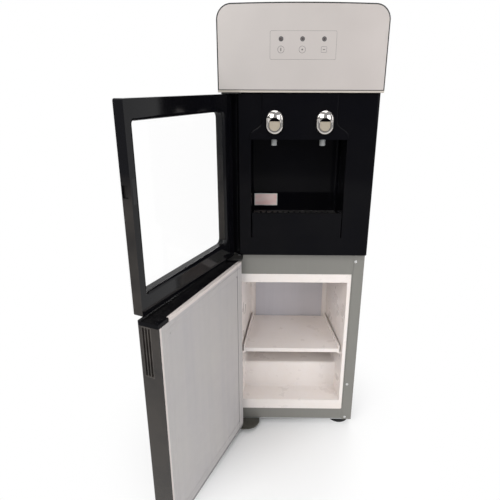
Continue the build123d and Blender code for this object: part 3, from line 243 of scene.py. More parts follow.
def paint(name, colour, flake=0.05):
    """Sprayed and baked paint on sheet steel: orange peel, fine flake and faint handling marks."""
    finish = Finish(name, colour, 0.36, Specular_IOR_Level=0.45, Metallic=0.25)
    lighter = scaled(colour, 1.3)
    finish.tint(finish.spread(finish.noise(5, 4, (1, 1, 0.35)), 0.35, 0.7), scaled(colour, 0.72), 0.14)
    finish.tint(finish.spread(finish.cells(2600), 0.0, 0.25, 1, 0), lighter, flake * 4)
    finish.tint(finish.spread(finish.noise(160, 2, (1, 1, 0.06)), 0.6, 0.75), lighter, 0.12)
    finish.roughen(finish.noise(38, 4), 0.3, 0.46)
    return finish.bump(finish.noise(900, 2), 0.00012, 0.35).dust(0.18).material


def gloss_black(name, specular, dust=0.35, end=None):
    """Injection-moulded black gloss: deep colour, fine swirl marks, slight sink and dust on top.

    A door's free end, given by the door's angle, a colour and the level it reaches up to, is tinted with a
    painted reflection of the bright room beside it.
    """
    finish = Finish(name, (0.0026, 0.0026, 0.0038), 0.07, Specular_IOR_Level=specular)
    if end:
        angle, reflected_taupe, level = end
        # Painted reflection: the end face is tinted lighter below the given level, as if it mirrored the
        # pale floor and room at the left.
        faced = finish.spread(finish.facing(door_direction(angle)), 0.9, 0.98)
        finish.tint(finish.maths("MULTIPLY", faced, finish.below(level, 0.03)), reflected_taupe)
    finish.tint(finish.spread(finish.noise(9, 3), 0.4, 0.7), (0.0042, 0.004, 0.0047), 0.8)
    finish.roughen(finish.noise(24, 5, (1, 1, 0.4), 0.65), 0.045, 0.12)
    finish.bump(finish.noise(11, 1), 0.0012, 0.05)
    finish.bump(finish.noise(1900, 2, (1, 0.2, 1)), 0.00003, 0.16)
    return finish.dust(dust, (0.09, 0.085, 0.08)).material


def satin_black(name, colour=(0.012, 0.012, 0.013), grain=2200):
    """Moulded plastic with a fine spark-eroded grain."""
    finish = Finish(name, colour, 0.48, Specular_IOR_Level=0.4)
    finish.tint(finish.spread(finish.noise(30, 5), 0.4, 0.75), scaled(colour, 3), 0.5)
    finish.roughen(finish.noise(55, 4), 0.4, 0.6)
    return finish.bump(finish.cells(grain), 0.00012, 0.4).dust(0.35, (0.16, 0.15, 0.14)).material


def silver_panel():
    """The sprayed silver panel: fine metal flake under a smooth clear coat, with painted light that makes
    it paler towards the left.
    """
    finish = Finish("silver_panel", (0.535, 0.49, 0.465), 0.32, Metallic=0.3, Specular_IOR_Level=0.4)
    finish.shader.inputs["Coat Weight"].default_value = 0.25
    finish.shader.inputs["Coat Roughness"].default_value = 0.12
    finish.tint(finish.spread(finish.cells(2400), 0.0, 0.3, 1, 0), (0.595, 0.555, 0.53), 0.3)
    # Painted light: the panel grows paler towards the left, standing in for the stronger light that falls
    # on that side.
    palest, plainest = -0.11, 0.19
    painted_light_leftwards = finish.spread(finish.coordinate("X"), palest, plainest, 1, 0)
    finish.tint(painted_light_leftwards, (0.565, 0.535, 0.515), 0.6)
    finish.tint(finish.spread(finish.noise(6, 3, (1, 1, 0.3)), 0.4, 0.7), (0.51, 0.48, 0.45), 0.3)
    finish.roughen(finish.noise(26, 4), 0.28, 0.37)
    return finish.bump(finish.noise(1400, 2), 0.00003, 0.2).material


def head_trim():
    """The head's satin black moulding, whose lower edge is a beige silver strip on the front."""
    finish = Finish("head_trim", (0.012, 0.012, 0.013), 0.42, Specular_IOR_Level=0.4)
    finish.tint(finish.spread(finish.noise(30, 5), 0.4, 0.75), (0.022, 0.022, 0.023), 0.4)
    strip_top, soft = 0.8326, 0.0004
    front = finish.spread(finish.facing((0, -1, 0)), 0.3, 0.5)
    finish.tint(finish.maths("MULTIPLY", front, finish.below(strip_top, soft)), (0.46, 0.42, 0.37))
    finish.roughen(finish.noise(55, 4), 0.36, 0.5)
    return finish.bump(finish.cells(2200), 0.0001, 0.3).dust(0.16, (0.12, 0.115, 0.11)).material


def white_plastic(name, colour, grain, strength):
    """Formed or moulded pale plastic: slight waviness, a fine pebble and a trace of uneven yellowing."""
    finish = Finish(name, colour, 0.3, Specular_IOR_Level=0.5)
    finish.shader.inputs["Subsurface Weight"].default_value = 0.06
    finish.shader.inputs["Subsurface Radius"].default_value = (0.004, 0.003, 0.002)
    warm = tuple(c * k for c, k in zip(colour, (0.95, 0.90, 0.82)))
    finish.tint(finish.spread(finish.noise(7, 4), 0.42, 0.75), warm, 0.35)
    finish.tint(finish.spread(finish.noise(90, 2), 0.45, 0.8), scaled(warm, 0.94), 0.15)
    finish.roughen(finish.noise(30, 4), 0.24, 0.42)
    finish.bump(finish.noise(13, 2), 0.0008, 0.05)
    return finish.bump(finish.noise(grain, 2), 0.0001, strength).material


def streaked_sheet(name, colour, streak, warm, borders=None):
    """A grey-white pressed sheet: faint upright streaks, a slight ripple, and edges that borders tints."""
    finish = Finish(name, colour, 0.4, Specular_IOR_Level=0.4)
    finish.tint(finish.spread(finish.noise(70, 4, (1, 1, 0.03), 0.6), 0.4, 0.7), streak, 0.55)
    finish.tint(finish.spread(finish.noise(6, 3), 0.4, 0.7), warm, 0.5)
    finish.tint(finish.spread(finish.noise(240, 4), 0.6, 0.85), scaled(colour, 0.8), 0.2)
    if borders:
        borders(finish)
    finish.roughen(finish.noise(40, 4), 0.34, 0.5)
    finish.bump(finish.noise(600, 2), 0.00008, 0.3)
    return finish.bump(finish.noise(9, 2), 0.001, 0.10).material


def door_edges_and_painted_shade(finish):
    """Pale free and top edges, and painted shade: a grey band along the bottom where the flange lies in
    shadow, and a dark shadow line down the seal's hinge side.
    """
    pale, grey = (0.66, 0.595, 0.565), (0.225, 0.217, 0.217)
    free_edge, top_edge, shaded_foot, line = 0.2990, 0.4642, 0.0255, 0.0152
    soft, shadow_line_half = 0.0006, 0.0011
    reach = finish.reach(LOWER_OPEN)
    finish.tint(finish.spread(reach, free_edge - soft, free_edge + soft), pale)
    finish.tint(finish.spread(finish.coordinate("Z"), top_edge - soft, top_edge + soft), pale)
    # Painted shade: below this level the flange, which lies in shadow, is tinted grey.
    finish.tint(finish.below(shaded_foot), grey)
    # Painted shadow: a dark line down the hinge side stands for the shadow gap between the seal and the
    # panel.
    off_shadow_line = finish.maths("ABSOLUTE", finish.maths("SUBTRACT", reach, line))
    finish.tint(finish.spread(off_shadow_line, 0.5 * shadow_line_half, shadow_line_half, 1, 0), grey)


def metal(name, colour, rough, grain, grain_scale, wear=0.3):
    """Bare or plated metal with its drawing or rolling marks."""
    finish = Finish(name, colour, rough, Metallic=1.0)
    marks = finish.noise(grain_scale, 5, grain, 0.7)
    finish.tint(finish.spread(marks, 0.35, 0.7), scaled(colour, 0.75), wear)
    finish.tint(finish.spread(finish.noise(22, 6, rough=0.7), 0.55, 0.8), scaled(colour, 0.6), wear * 0.7)
    finish.roughen(marks, rough * 0.8, rough * 1.35)
    return finish.bump(marks, 0.00004, 0.25).material


def rubber(name, colour, grain=900):
    """Moulded rubber: dull, with a bloom and rubbed patches."""
    finish = Finish(name, colour, 0.72, Specular_IOR_Level=0.3)
    bloom = tuple(min(1, 1.6 * channel + 0.01) for channel in colour)
    finish.tint(finish.spread(finish.noise(35, 5), 0.4, 0.75), bloom, 0.4)
    finish.roughen(finish.noise(60, 3), 0.62, 0.85)
    return finish.bump(finish.noise(grain, 3), 0.0001, 0.4).material


def foam():
    """Cut polyurethane foam: fine open cells and a skin that has browned unevenly."""
    finish = Finish("foam", (0.72, 0.62, 0.38), 0.9, Specular_IOR_Level=0.1)
    finish.tint(finish.spread(finish.noise(14, 5), 0.4, 0.7), (0.62, 0.47, 0.22), 0.6)
    finish.tint(finish.spread(finish.cells(700), 0.0, 0.35, 1, 0), (0.5, 0.4, 0.2), 0.4)
    return finish.bump(finish.cells(700), 0.0006, 0.6).material


def clear_glass():
    """Toughened glass, with the faintest haze of wiping marks."""
    finish = Finish("door_glass", (1.0, 1.0, 1.0), 0.0, Transmission_Weight=1.0, IOR=1.12)
    return finish.roughen(finish.noise(18, 5, (1, 1, 0.3)), 0.0, 0.01).material


def lens_glass():
    """Smoked clear plastic over a lamp that isn't lit."""
    finish = Finish("lamp_lens", (0.20, 0.17, 0.17), 0.12, Transmission_Weight=0.35, IOR=1.49)
    finish.tint(finish.spread(finish.cells(1300), 0.1, 0.5), (0.08, 0.07, 0.07), 0.6)
    return finish.bump(finish.cells(1300), 0.0001, 0.3).material


def circuit_board():
    """Green solder mask with the tracks showing faintly through it."""
    finish = Finish("circuit_board", (0.015, 0.11, 0.04), 0.3)
    tracks = finish.spread(finish.noise(110, 0, (1, 1, 0.12)), 0.49, 0.52)
    finish.tint(tracks, (0.03, 0.2, 0.06), 0.8)
    return finish.bump(tracks, 0.00008, 0.5).material


def label_stock(name, colour, tone):
    """Plain label stock with a second tone faintly and unevenly over it."""
    finish = Finish(name, colour, 0.33, Specular_IOR_Level=0.5)
    finish.tint(finish.spread(finish.noise(120, 3, (0.3, 1, 1)), 0.4, 0.65), tone, 0.55)
    finish.tint(finish.spread(finish.noise(900, 3), 0.5, 0.8), tone, 0.25)
    return finish.bump(finish.noise(500, 2), 0.00003, 0.2).material


# A door's free end with its painted reflection: its door's angle, the reflected colour, and the level the
# reflection reaches up to, in metres.
UPPER_END_REFLECTION = (UPPER_OPEN, (0.028, 0.024, 0.021), 0.69)
LOWER_END_REFLECTION = (LOWER_OPEN, (0.028, 0.023, 0.019), cad_high.z)

paints = {
    "casing_grey": paint("casing_grey", (0.216, 0.211, 0.193)),
    "inner_steel": metal("inner_steel", (0.55, 0.56, 0.57), 0.34, (1, 1, 0.1), 300),
    "black_gloss": gloss_black("black_gloss", 0.5),
    "bay_gloss": gloss_black("bay_gloss", 0.055, 0.15),
    "upper_door_gloss": gloss_black("upper_door_gloss", 0.2, 0.06, UPPER_END_REFLECTION),
    "lower_door_gloss": gloss_black("lower_door_gloss", 0.32, 0.2, LOWER_END_REFLECTION),
    "grip_taupe": satin_black("grip_taupe", (0.036, 0.031, 0.027)),
    "black_satin": satin_black("black_satin"),
    "head_trim": head_trim(),
    "black_satin_metal": paint("black_painted_metal", (0.014, 0.014, 0.014), 0.01),
    "olive_metal": paint("olive_metal", (0.062, 0.061, 0.051), 0.02),
    "head_silver": silver_panel(),
    "liner_white": white_plastic("liner_white", (0.80, 0.745, 0.715), 400, 0.05),
    "door_inner": streaked_sheet(
        "door_inner", (0.455, 0.43, 0.425), (0.40, 0.385, 0.395), (0.47, 0.45, 0.42), door_edges_and_painted_shade
    ),
    "cold_wall": streaked_sheet(
        "cold_wall", (0.575, 0.565, 0.605), (0.53, 0.515, 0.555), (0.60, 0.575, 0.59)
    ),
    "chrome": metal("chrome", (0.64, 0.605, 0.57), 0.07, None, 60, 0.45),
    "push_plate": white_plastic("push_plate", (0.36, 0.315, 0.25), 900, 0.15),
    "spout_grey": white_plastic("spout_grey", (0.33, 0.34, 0.34), 900, 0.15),
    "door_glass": clear_glass(),
    "lens": lens_glass(),
    "gasket_grey": rubber("gasket_grey", (0.43, 0.415, 0.415), 700),
    "rubber_black": rubber("rubber_black", (0.012, 0.012, 0.012)),
    "foam": foam(),
    "aluminium": metal("aluminium", (0.60, 0.61, 0.66), 0.42, (0.05, 1, 1), 380, 0.25),
    "copper": metal("copper", (0.72, 0.36, 0.2), 0.28, None, 220, 0.5),
    "board_green": circuit_board(),
    "condenser_black": paint("condenser_black", (0.012, 0.012, 0.012), 0.01),
    "zinc": metal("zinc", (0.70, 0.70, 0.69), 0.26, None, 260, 0.3),
    "switch_red": white_plastic("switch_red", (0.42, 0.012, 0.01), 900, 0.1),
    "switch_green": white_plastic("switch_green", (0.01, 0.16, 0.035), 900, 0.1),
    "label_pink": label_stock("label_pink", (0.98, 0.77, 0.73), (0.92, 0.56, 0.52)),
    "plate_silver": label_stock("plate_silver", (0.52, 0.53, 0.54), (0.44, 0.45, 0.46)),
    "print_grey": satin_black("print_grey", (0.075, 0.07, 0.07), 3000),
    "print_faint": satin_black("print_faint", (0.15, 0.14, 0.135), 3000),
    "print_white": white_plastic("print_white", (0.72, 0.72, 0.70), 2000, 0.1),
}
own_finish = {
    "bay_moulding": "bay_gloss",
    "drip_tray": "bay_gloss",
    "head_surround": "head_trim",
    "upper_door_frame": "upper_door_gloss",
    "lower_door_shell": "lower_door_gloss",
    "lower_door_grip": "grip_taupe",
    "lower_door_inner_panel": "door_inner",
    "lower_door_top_cap": "bay_gloss",
    "evaporator_plate": "cold_wall",
    "bottom_hinge": "olive_metal",
}
for part in frame["record"]["subparts"]:
    node = nodes[part["node"]]
    finish = paints[own_finish.get(part["node"], part["material_slot"])]
    if not node.data.materials:
        node.data.materials.append(finish)
    for index in range(len(node.data.materials)):
        node.data.materials[index] = finish


# ---- small pieces ----
def add(name, verts, faces, slot, body, finish=None):
    """A new piece, in millimetres of the source's drawing, that rides on one body."""
    mesh = bpy.data.meshes.new(name)
    mesh.from_pydata([at(*vert) for vert in verts], [], faces)
    mesh.validate()
    piece = bpy.data.objects.new(name, mesh)
    bpy.context.scene.collection.objects.link(piece)
    mesh.materials.append(paints[finish or slot])
    shade(mesh)
    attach(piece, body)
    return piece


def shade(mesh, angle=math.radians(35)):
    """Turns the faces outward, and smooths them where they meet at a shallow angle."""
    shell = bmesh.new()
    shell.from_mesh(mesh)
    bmesh.ops.recalc_face_normals(shell, faces=shell.faces)
    for face in shell.faces:
        face.smooth = True
    for edge in shell.edges:
        edge.smooth = len(edge.link_faces) == 2 and edge.calc_face_angle(0) < angle
    shell.to_mesh(mesh)
    shell.free()


def rounded(x, z, wide, tall, corner):
    """The outline of an upright rounded rectangle about a point, in x and z."""
    steps = 6
    points = []
    for quarter, (across, up) in enumerate(((1, 1), (-1, 1), (-1, -1), (1, -1))):
        middle = (x + across * (wide / 2 - corner), z + up * (tall / 2 - corner))
        for step in range(steps + 1):
            turn = math.pi / 2 * (quarter + step / steps)
            points.append((middle[0] + corner * math.cos(turn), middle[1] + corner * math.sin(turn)))
    return points


def upright_plate(outline, y_from, y_to):
    """A thin plate of an outline in x and z."""
    count = len(outline)
    verts = [(x, y_from, z) for x, z in outline] + [(x, y_to, z) for x, z in outline]
    sides = [(k, (k + 1) % count, count + (k + 1) % count, count + k) for k in range(count)]
    return verts, [tuple(range(count)), tuple(range(2 * count - 1, count - 1, -1)), *sides]


def circle(x, z, across):
    """A round outline about a point, in x and z; its quarters lie a hair apart, so no two points meet."""
    return rounded(x, z, across, across, across / 2 - 0.01)


def upright_ring(outer, inner, y_from, y_to):
    """A thin frame between two outlines that have as many points."""
    # The four loops in order: outer and inner at one y, then outer and inner at the other.
    count = len(outer)
    verts = [(x, y, z) for y in (y_from, y_to) for loop in (outer, inner) for x, z in loop]
    faces = []
    for k in range(count):
        n = (k + 1) % count
        for first, second in ((0, 1), (1, 3), (3, 2), (2, 0)):
            faces.append((first * count + k, first * count + n, second * count + n, second * count + k))
    return verts, faces


def ruled(x, z, wide, tall, line, corners, y_from, y_to):
    """A line of a given width just inside a rounded rectangle, with its outer and its inner corners."""
    outer = rounded(x, z, wide, tall, corners[0])
    inner = rounded(x, z, wide - 2 * line, tall - 2 * line, corners[1])
    return upright_ring(outer, inner, y_from, y_to)


def joined(*shapes):
    """Several lists of points and faces as one."""
    verts, faces = [], []
    for some, sides in shapes:
        faces += [tuple(index + len(verts) for index in side) for side in sides]
        verts += some
    return verts, faces


def lathed(profile, segments):
    """A turned shape about z, from radius and height pairs."""
    verts, faces = [], []
    for radius, height in profile:
        for k in range(segments):
            turn = 2 * math.pi * k / segments
            verts.append((radius * math.cos(turn), radius * math.sin(turn), height))
    for row in range(len(profile) - 1):
        for k in range(segments):
            n = (k + 1) % segments
            low, high = row * segments, (row + 1) * segments
            faces.append((low + k, low + n, high + n, high + k))
    faces.append(tuple(range(segments)))
    faces.append(tuple(range(len(verts) - 1, len(verts) - segments - 1, -1)))
    return verts, faces


def box(x_from, x_to, y_from, y_to, z_from, z_to):
    """A block between two corners."""
    outline = [(x_from, z_from), (x_to, z_from), (x_to, z_to), (x_from, z_to)]
    return upright_plate(outline, y_from, y_to)


def ring_faces(rows, count):
    """The faces between loops of as many points each, with the last loop joined to the first."""
    faces = []
    for row in range(rows):
        n = (row + 1) % rows
        for k in range(count):
            j = (k + 1) % count
            faces.append((row * count + k, row * count + j, n * count + j, n * count + k))
    return faces


def screw_blank(radius, height):
    """A pan head with a cross recess, standing on its own origin along z."""
    dome = [(1, 0), (1, 0.3), (0.94, 0.55), (0.8, 0.78), (0.55, 0.93), (0.25, 0.99), (0.04, 1)]
    head = lathed([(radius * across, height * up) for across, up in dome], 40)
    arm, reach, floor, over = radius * 0.13, radius * 0.56, height * 0.25, height * 2
    cross = joined(box(-reach, reach, -arm, arm, floor, over), box(-arm, arm, -reach, reach, floor, over))
    solids = []
    for verts, faces in (head, cross):
        mesh = bpy.data.meshes.new("blank")
        mesh.from_pydata(verts, [], faces)
        mesh.validate()
        shade(mesh)
        solids.append(bpy.data.objects.new("blank", mesh))
        bpy.context.scene.collection.objects.link(solids[-1])
    cut = solids[0].modifiers.new("cross", "BOOLEAN")
    cut.object, cut.operation, cut.use_self = solids[1], "DIFFERENCE", True
    graph = bpy.context.evaluated_depsgraph_get()
    mesh = bpy.data.meshes.new_from_object(solids[0].evaluated_get(graph))
    for solid in solids:
        bpy.data.objects.remove(solid)
    return mesh


def screws():
    """Cross-head screws on the front stiles, the back panel, the middle hinge and the bottom hinge."""
    stile, rear, hinge = screw_blank(3.2, 0.6), screw_blank(3.8, 1.6), screw_blank(3.2, 1.2)
    stile_places = ((19.8, 460.0), (16.9, 123.9), (16.4, 22.0))  # inset from the side, and height
    rear_inset, rear_heights = 10.0, (140.0, 560.0, 935.0)
    middle_hinge_places = ((-126.0, -8.0, 478.0), (-142.0, -8.0, 478.0))
    bottom_hinge_places = ((-108.0, 2.0, 12.0), (-124.0, 2.0, 12.0))
    most_turn = 1.5
    heads = []

    def drive(blank, x, y, z, out):
        """Sets a screw at a point, its head towards a unit vector and its cross turned at random."""
        seat = Matrix.Translation((x, y, z)) @ Vector(out).to_track_quat("Z", "Y").to_matrix().to_4x4()
        seat = seat @ Matrix.Rotation(random.uniform(0, most_turn), 4, "Z")
        verts = [tuple(seat @ vert.co) for vert in blank.vertices]
        heads.append((verts, [tuple(face.vertices) for face in blank.polygons]))

    for side in (-1, 1):
        for inset, z in stile_places:
            drive(stile, side * (HALF_WIDTH - inset), 0, z, (0, -1, 0))
        for z in rear_heights:
            drive(rear, side * (HALF_WIDTH - rear_inset), BACK_FACE, z, (0, 1, 0))
    for place in middle_hinge_places:
        drive(hinge, *place, (0, 0, 1))
    for place in bottom_hinge_places:
        drive(hinge, *place, (0, 0, -1))
    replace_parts(add("cross_head_screws", *joined(*heads), "zinc", "casing"), "casing_screws")


def head_print():
    """The ruled window on the head, the dark ring round each lamp and the three marks under them."""
    front, back = HEAD_FACE - 0.06, HEAD_FACE + 0.02
    # The window's middle in x and z, its width and its height.
    window, window_line, window_corners = (1.5, 914.5, 127.0, 51.0), 0.5, (3.0, 2.5)
    ring_outer, ring_inner = 9.2, 4.9
    mark_height, mark_outer, mark_inner = 907.0, 13.0, 11.8
    square, square_line, square_corners = 11.0, 0.5, (1.2, 0.7)

    line = ruled(*window, window_line, window_corners, front, back)
    add("window_line", *line, "black_satin", "casing", "print_faint")

    def ringed(x, z, outer, inner):
        """A round ring about a point, between two diameters."""
        return upright_ring(circle(x, z, outer), circle(x, z, inner), front, back)

    rings = [ringed(x, LAMP_HEIGHT, ring_outer, ring_inner) for x in LAMPS]
    add("lamp_rings", *joined(*rings), "black_satin", "casing", "print_grey")

    left, middle, right = LAMPS
    bar = rounded(left, mark_height, 1.6, 6.0, 0.7)
    dot = rounded(middle, mark_height, 3.0, 3.0, 1.4)
    dash = rounded(right, mark_height, 4.4, 1.4, 0.6)
    marks = [ringed(x, mark_height, mark_outer, mark_inner) for x in (left, middle)]
    marks.append(ruled(right, mark_height, square, square, square_line, square_corners, front, back))
    marks += [upright_plate(outline, front, back) for outline in (bar, dot, dash)]
    add("lamp_marks", *joined(*marks), "black_satin", "casing", "print_grey")


def labels():
    """A blank pale label on the niche's back wall and a blank rating plate on the back panel."""
    # Each blank's middle in x and z, its width and its height.
    note, plate = (-67.0, 585.5, 54.0, 29.0), (-85.0, 690.0, 76.0, 46.0)
    note_corner, plate_corner = 1.5, 2.0
    border, border_corners = 1.5, (note_corner, 0.8)
    margin, line, line_corners = 2.5, 0.4, (1.0, 0.7)

    stock = upright_plate(rounded(*note, note_corner), NICHE_BACK - 0.25, NICHE_BACK + 0.05)
    add("blank_label", *stock, "liner_white", "casing", "label_pink")
    edge = ruled(*note, border, border_corners, NICHE_BACK - 0.3, NICHE_BACK)
    add("blank_label_border", *edge, "liner_white", "casing", "print_white")

    stock = upright_plate(rounded(*plate, plate_corner), BACK_FACE - 0.05, BACK_FACE + 0.35)
    add("blank_rating_plate", *stock, "zinc", "casing", "plate_silver")
    x, z, wide, tall = plate
    inside = (x, z, wide - 2 * margin, tall - 2 * margin)
    edge = ruled(*inside, line, line_corners, BACK_FACE + 0.3, BACK_FACE + 0.42)
    add("rating_plate_line", *edge, "black_satin", "casing", "print_grey")


def door_seal():
    """The lower door's soft seal, whose lips cover its groove except along the hinge side."""
    door_half, door_foot, door_top, margin, groove = 159.3, 17.0, 472.0, 13.3, 15.0
    outer_corner, least_corner, wall_gap, hinge_side = 6.0, 1.0, 0.2, -120.0
    # Half the seal's section: how far in from the groove's outer edge, and the y with the door closed.
    half = (
        (0.3, -6.5), (0.3, -1.37), (-0.9, -1.37), (-0.8, -1.2), (0.4, -0.97), (1.4, -0.9), (5.0, -0.9),
        (5.6, -1.15), (6.2, -0.9),
    )
    section = (*half, *((groove - drawn_in, y) for drawn_in, y in reversed(half)))

    def loop(drawn_in):
        """The rounded rectangle that lies so far in from the groove's outer edge."""
        inset = margin + drawn_in
        wide, tall = 2 * (door_half - inset), door_top - door_foot - 2 * inset
        corner = max(outer_corner - drawn_in, least_corner)
        return rounded(0, (door_foot + door_top) / 2, wide, tall, corner)

    verts = []
    for drawn_in, y in section:
        bare = loop(min(max(drawn_in, wall_gap), groove - wall_gap))
        lipped = loop(drawn_in)
        for plain, covering in zip(bare, lipped):
            x, z = plain if plain[0] < hinge_side else covering
            verts.append((x, y, z))
    faces = ring_faces(len(section), len(bare))
    seal = add("door_seal", verts, faces, "gasket_grey", "lower_door", "door_inner")
    seal.data.transform(swung(LOWER_OPEN))
    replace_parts(seal, "lower_door_gasket")


def push_plate_ridges():
    """The raised arc moulded into each push plate."""
    half_wide, drop, deep, end_drop, steps = 7.2, 7.2, 6.6, 1.2, 24
    # The ridge's section: how far to the side of its middle line, and how far out of the plate.
    section = ((-0.55, -0.1), (-0.3, 0.3), (0.3, 0.3), (0.55, -0.1))
    count = len(section)
    for side, word in ((-1, "left"), (1, "right")):
        x = side * TAP_X
        arc = [(x - half_wide, TAP_HEIGHT - end_drop)]
        for step in range(steps + 1):
            turn = math.pi + math.pi * step / steps
            arc.append((x + half_wide * math.cos(turn), TAP_HEIGHT - drop + deep * math.sin(turn)))
        arc.append((x + half_wide, TAP_HEIGHT - end_drop))
        verts, faces = [], []
        for index, (across, up) in enumerate(arc):
            before, after = arc[max(index - 1, 0)], arc[min(index + 1, len(arc) - 1)]
            along = Vector((after[0] - before[0], after[1] - before[1])).normalized()
            for aside, lift in section:
                verts.append((across - along.y * aside, BUTTON_FACE - lift, up + along.x * aside))
        for row in range(0, count * (len(arc) - 1), count):
            for k in range(count):
                n = (k + 1) % count
                faces.append((row + k, row + n, row + count + n, row + count + k))
        faces += [tuple(range(count)), tuple(range(len(verts) - 1, len(verts) - count - 1, -1))]
        add(f"push_plate_ridge_{word}", verts, faces, "push_plate", f"{word}_push_plate")


def spoke(centre, turn, near, far, near_half, far_half):
    """The outline of a bar that points away from a centre, tapered from one half width to the other."""
    return [
        (
            centre[0] + out * math.cos(turn) - aside * math.sin(turn),
            centre[1] + out * math.sin(turn) + aside * math.cos(turn),
        )
        for out, aside in ((near, -near_half), (far, -far_half), (far, far_half), (near, near_half))
    ]


def dial_marks():
    """The dial printed round the cold control, with every fifth mark longer."""
    count, first_degrees, step_degrees = 11, 225, 27
    near, short, long, half = 16.5, 2.6, 4.0, 0.45
    ticks = []
    for step in range(count):
        far = near + (long if step % 5 == 0 else short)
        turn = math.radians(first_degrees - step_degrees * step)
        outline = spoke(KNOB, turn, near, far, half, half)
        ticks.append(upright_plate(outline, BACK_FACE - 0.02, BACK_FACE + 0.08))
    add("dial_marks", *joined(*ticks), "black_satin", "casing", "print_white")


def grip_ribs(name, body, centre, radius, count, near, far):
    """Tapered ribs round a knob or a cap, between two distances from the back face."""
    sunk, proud, root_half, tip_half = 0.3, 0.45, 0.8, 0.35
    ribs = []
    for k in range(count):
        rib = spoke(centre, 2 * math.pi * k / count, radius - sunk, radius + proud, root_half, tip_half)
        ribs.append(upright_plate(rib, BACK_FACE + near, BACK_FACE + far))
    add(name, *joined(*ribs), "black_satin", body)


def compressor_seam():
    """The weld bead round the compressor's pot."""
    x, y, z = 5.0, 226.0, 74.0
    radius, bead, ripple, ripples = 52.0, 1.3, 0.12, 9
    turns, sides = 64, 6
    verts = []
    for k in range(turns):
        turn = 2 * math.pi * k / turns
        for side in range(sides):
            round_bead = 2 * math.pi / sides * side
            across = radius + bead * math.cos(round_bead) * (1 + ripple * math.sin(ripples * turn))
            height = z + bead * math.sin(round_bead)
            verts.append((x + across * math.cos(turn), y + across * math.sin(turn), height))
    add("compressor_seam", verts, ring_faces(turns, sides), "condenser_black", "casing")


screws()
head_print()
labels()
door_seal()
push_plate_ridges()
dial_marks()
grip_ribs("control_grip_ribs", "cold_knob", KNOB, 13.0, 20, 2.0, 10.2)
grip_ribs("drain_cap_ribs", "cap", DRAIN_CAP, 9.0, 16, 5.0, 19.5)
compressor_seam()


# ---- stage, light and camera ----
def lamp(name, place, aim, size, power, colour=(1, 1, 1)):
    """A soft rectangular lamp at a place, aimed at a point."""
    data = bpy.data.lights.new(name, "AREA")
    data.shape = "RECTANGLE"
    data.size, data.size_y = size
    data.energy = power
    data.color = colour
    lit = bpy.data.objects.new(name, data)
    bpy.context.scene.collection.objects.link(lit)
    lit.location = place
    lit.rotation_euler = (Vector(aim) - Vector(place)).to_track_quat("-Z", "Y").to_euler()


def stage():
    """A pale round floor that turns into the white background away from the object."""
    radius, rim, fade_from, fade_to = 3.2, 96, 0.02, 0.46
    mesh = bpy.data.meshes.new("floor")
    turns = [2 * math.pi * k / rim for k in range(rim)]
    ring = [Vector((radius * math.cos(turn), radius * math.sin(turn), 0)) for turn in turns]
    mesh.from_pydata(ring, [], [list(range(rim))])
    floor = bpy.data.objects.new("floor", mesh)
    bpy.context.scene.collection.objects.link(floor)
    finish = Finish("floor", (0.88, 0.88, 0.875), 0.6, Specular_IOR_Level=0.2)
    finish.tint(finish.spread(finish.noise(3, 3), 0.4, 0.7), (0.86, 0.86, 0.855), 0.5)
    finish.bump(finish.noise(300, 2), 0.0001, 0.1)
    distance = finish.nodes.new("ShaderNodeVectorMath")
    distance.operation = "LENGTH"
    finish.links.new(finish.place, distance.inputs[0])
    fade = finish.nodes.new("ShaderNodeMapRange")
    fade.interpolation_type = "SMOOTHSTEP"
    finish.links.new(distance.outputs["Value"], fade.inputs["Value"])
    fade.inputs["From Min"].default_value = fade_from
    fade.inputs["From Max"].default_value = fade_to
    path = finish.nodes.new("ShaderNodeLightPath")
    seen = finish.maths("MAXIMUM", path.outputs["Is Camera Ray"], path.outputs["Is Glossy Ray"])
    seen = finish.maths("MAXIMUM", seen, path.outputs["Is Transmission Ray"])
    white = finish.nodes.new("ShaderNodeEmission")
    white.inputs["Color"].default_value = (1, 1, 1, 1)
    blend = finish.nodes.new("ShaderNodeMixShader")
    finish.links.new(finish.maths("MULTIPLY", seen, fade.outputs["Result"]), blend.inputs["Fac"])
    finish.links.new(finish.shader.outputs["BSDF"], blend.inputs[1])
    finish.links.new(white.outputs["Emission"], blend.inputs[2])
    finish.links.new(blend.outputs["Shader"], finish.nodes["Material Output"].inputs["Surface"])
    floor.data.materials.append(finish.material)


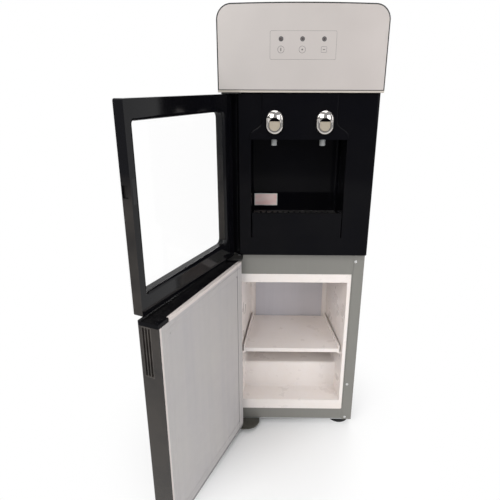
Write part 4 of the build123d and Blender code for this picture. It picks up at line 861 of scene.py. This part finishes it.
def surroundings():
    """A white background, and a dim room that the object reflects in front."""
    world = bpy.data.worlds.new("studio")
    bpy.context.scene.world = world
    world.use_nodes = True
    tree = world.node_tree
    room = tree.nodes["Background"]
    room.inputs["Color"].default_value = (0.96, 0.97, 1.0, 1)
    room.inputs["Strength"].default_value = 0.42
    white = tree.nodes.new("ShaderNodeBackground")
    white.inputs["Color"].default_value = (1, 1, 1, 1)
    path = tree.nodes.new("ShaderNodeLightPath")
    where = tree.nodes.new("ShaderNodeTexCoord")
    split = tree.nodes.new("ShaderNodeSeparateXYZ")
    tree.links.new(where.outputs["Generated"], split.inputs["Vector"])
    behind = tree.nodes.new("ShaderNodeMapRange")
    tree.links.new(split.outputs["Y"], behind.inputs["Value"])
    behind.inputs["From Min"].default_value = 0.0
    behind.inputs["From Max"].default_value = 0.25

    def join(kind, first, second):
        """A product or the like of two outputs."""
        node = tree.nodes.new("ShaderNodeMath")
        node.operation = kind
        tree.links.new(first, node.inputs[0])
        tree.links.new(second, node.inputs[1])
        return node.outputs["Value"]

    reflected = join("MULTIPLY", path.outputs["Is Glossy Ray"], behind.outputs["Result"])
    straight = join("MAXIMUM", path.outputs["Is Camera Ray"], path.outputs["Is Transmission Ray"])
    blend = tree.nodes.new("ShaderNodeMixShader")
    tree.links.new(join("MAXIMUM", straight, reflected), blend.inputs["Fac"])
    tree.links.new(room.outputs["Background"], blend.inputs[1])
    tree.links.new(white.outputs["Background"], blend.inputs[2])
    tree.links.new(blend.outputs["Shader"], tree.nodes["World Output"].inputs["Surface"])


def camera():
    """The photograph's camera; its focal length and its axis are in pixels of the photograph."""
    place, pitch, yaw, roll = (-70.131, -961.01, 846.675), 0.342, -0.012, -0.003
    photo, focal, axis_x, axis_y = 500, 449.707, 259.195, 242.911
    sensor = 36
    ahead = Vector((math.sin(yaw) * math.cos(pitch), math.cos(yaw) * math.cos(pitch), -math.sin(pitch)))
    level = Vector((math.cos(yaw), -math.sin(yaw), 0))
    down = ahead.cross(level)
    right = level * math.cos(roll) + down * math.sin(roll)
    down = down * math.cos(roll) - level * math.sin(roll)
    data = bpy.data.cameras.new("camera")
    data.sensor_width = sensor
    data.lens = focal * sensor / photo
    data.shift_x = -(axis_x - photo / 2) / photo
    data.shift_y = (axis_y - photo / 2) / photo
    data.clip_start = 0.05
    shot = bpy.data.objects.new("camera", data)
    bpy.context.scene.collection.objects.link(shot)
    turned = Matrix((right, -down, -ahead)).transposed().to_4x4()
    shot.matrix_world = Matrix.Translation(at(*place)) @ turned
    bpy.context.scene.camera = shot


stage()
surroundings()
camera()
lamp("key", (-1.5, -2.4, 2.3), (0, 0, 0.55), (1.8, 1.8), 62, (1.0, 0.985, 0.965))
lamp("fill", (1.9, -2.2, 1.5), (0, 0, 0.5), (1.6, 2.0), 30, (0.97, 0.98, 1.0))
lamp("overhead", (0.1, 0.2, 3.0), (0, 0, 0.5), (2.2, 2.2), 34)
lamp("rear", (0.6, 2.6, 1.9), (0, 0, 0.5), (1.8, 1.8), 30)

bpy.context.scene.view_settings.view_transform = "Standard"
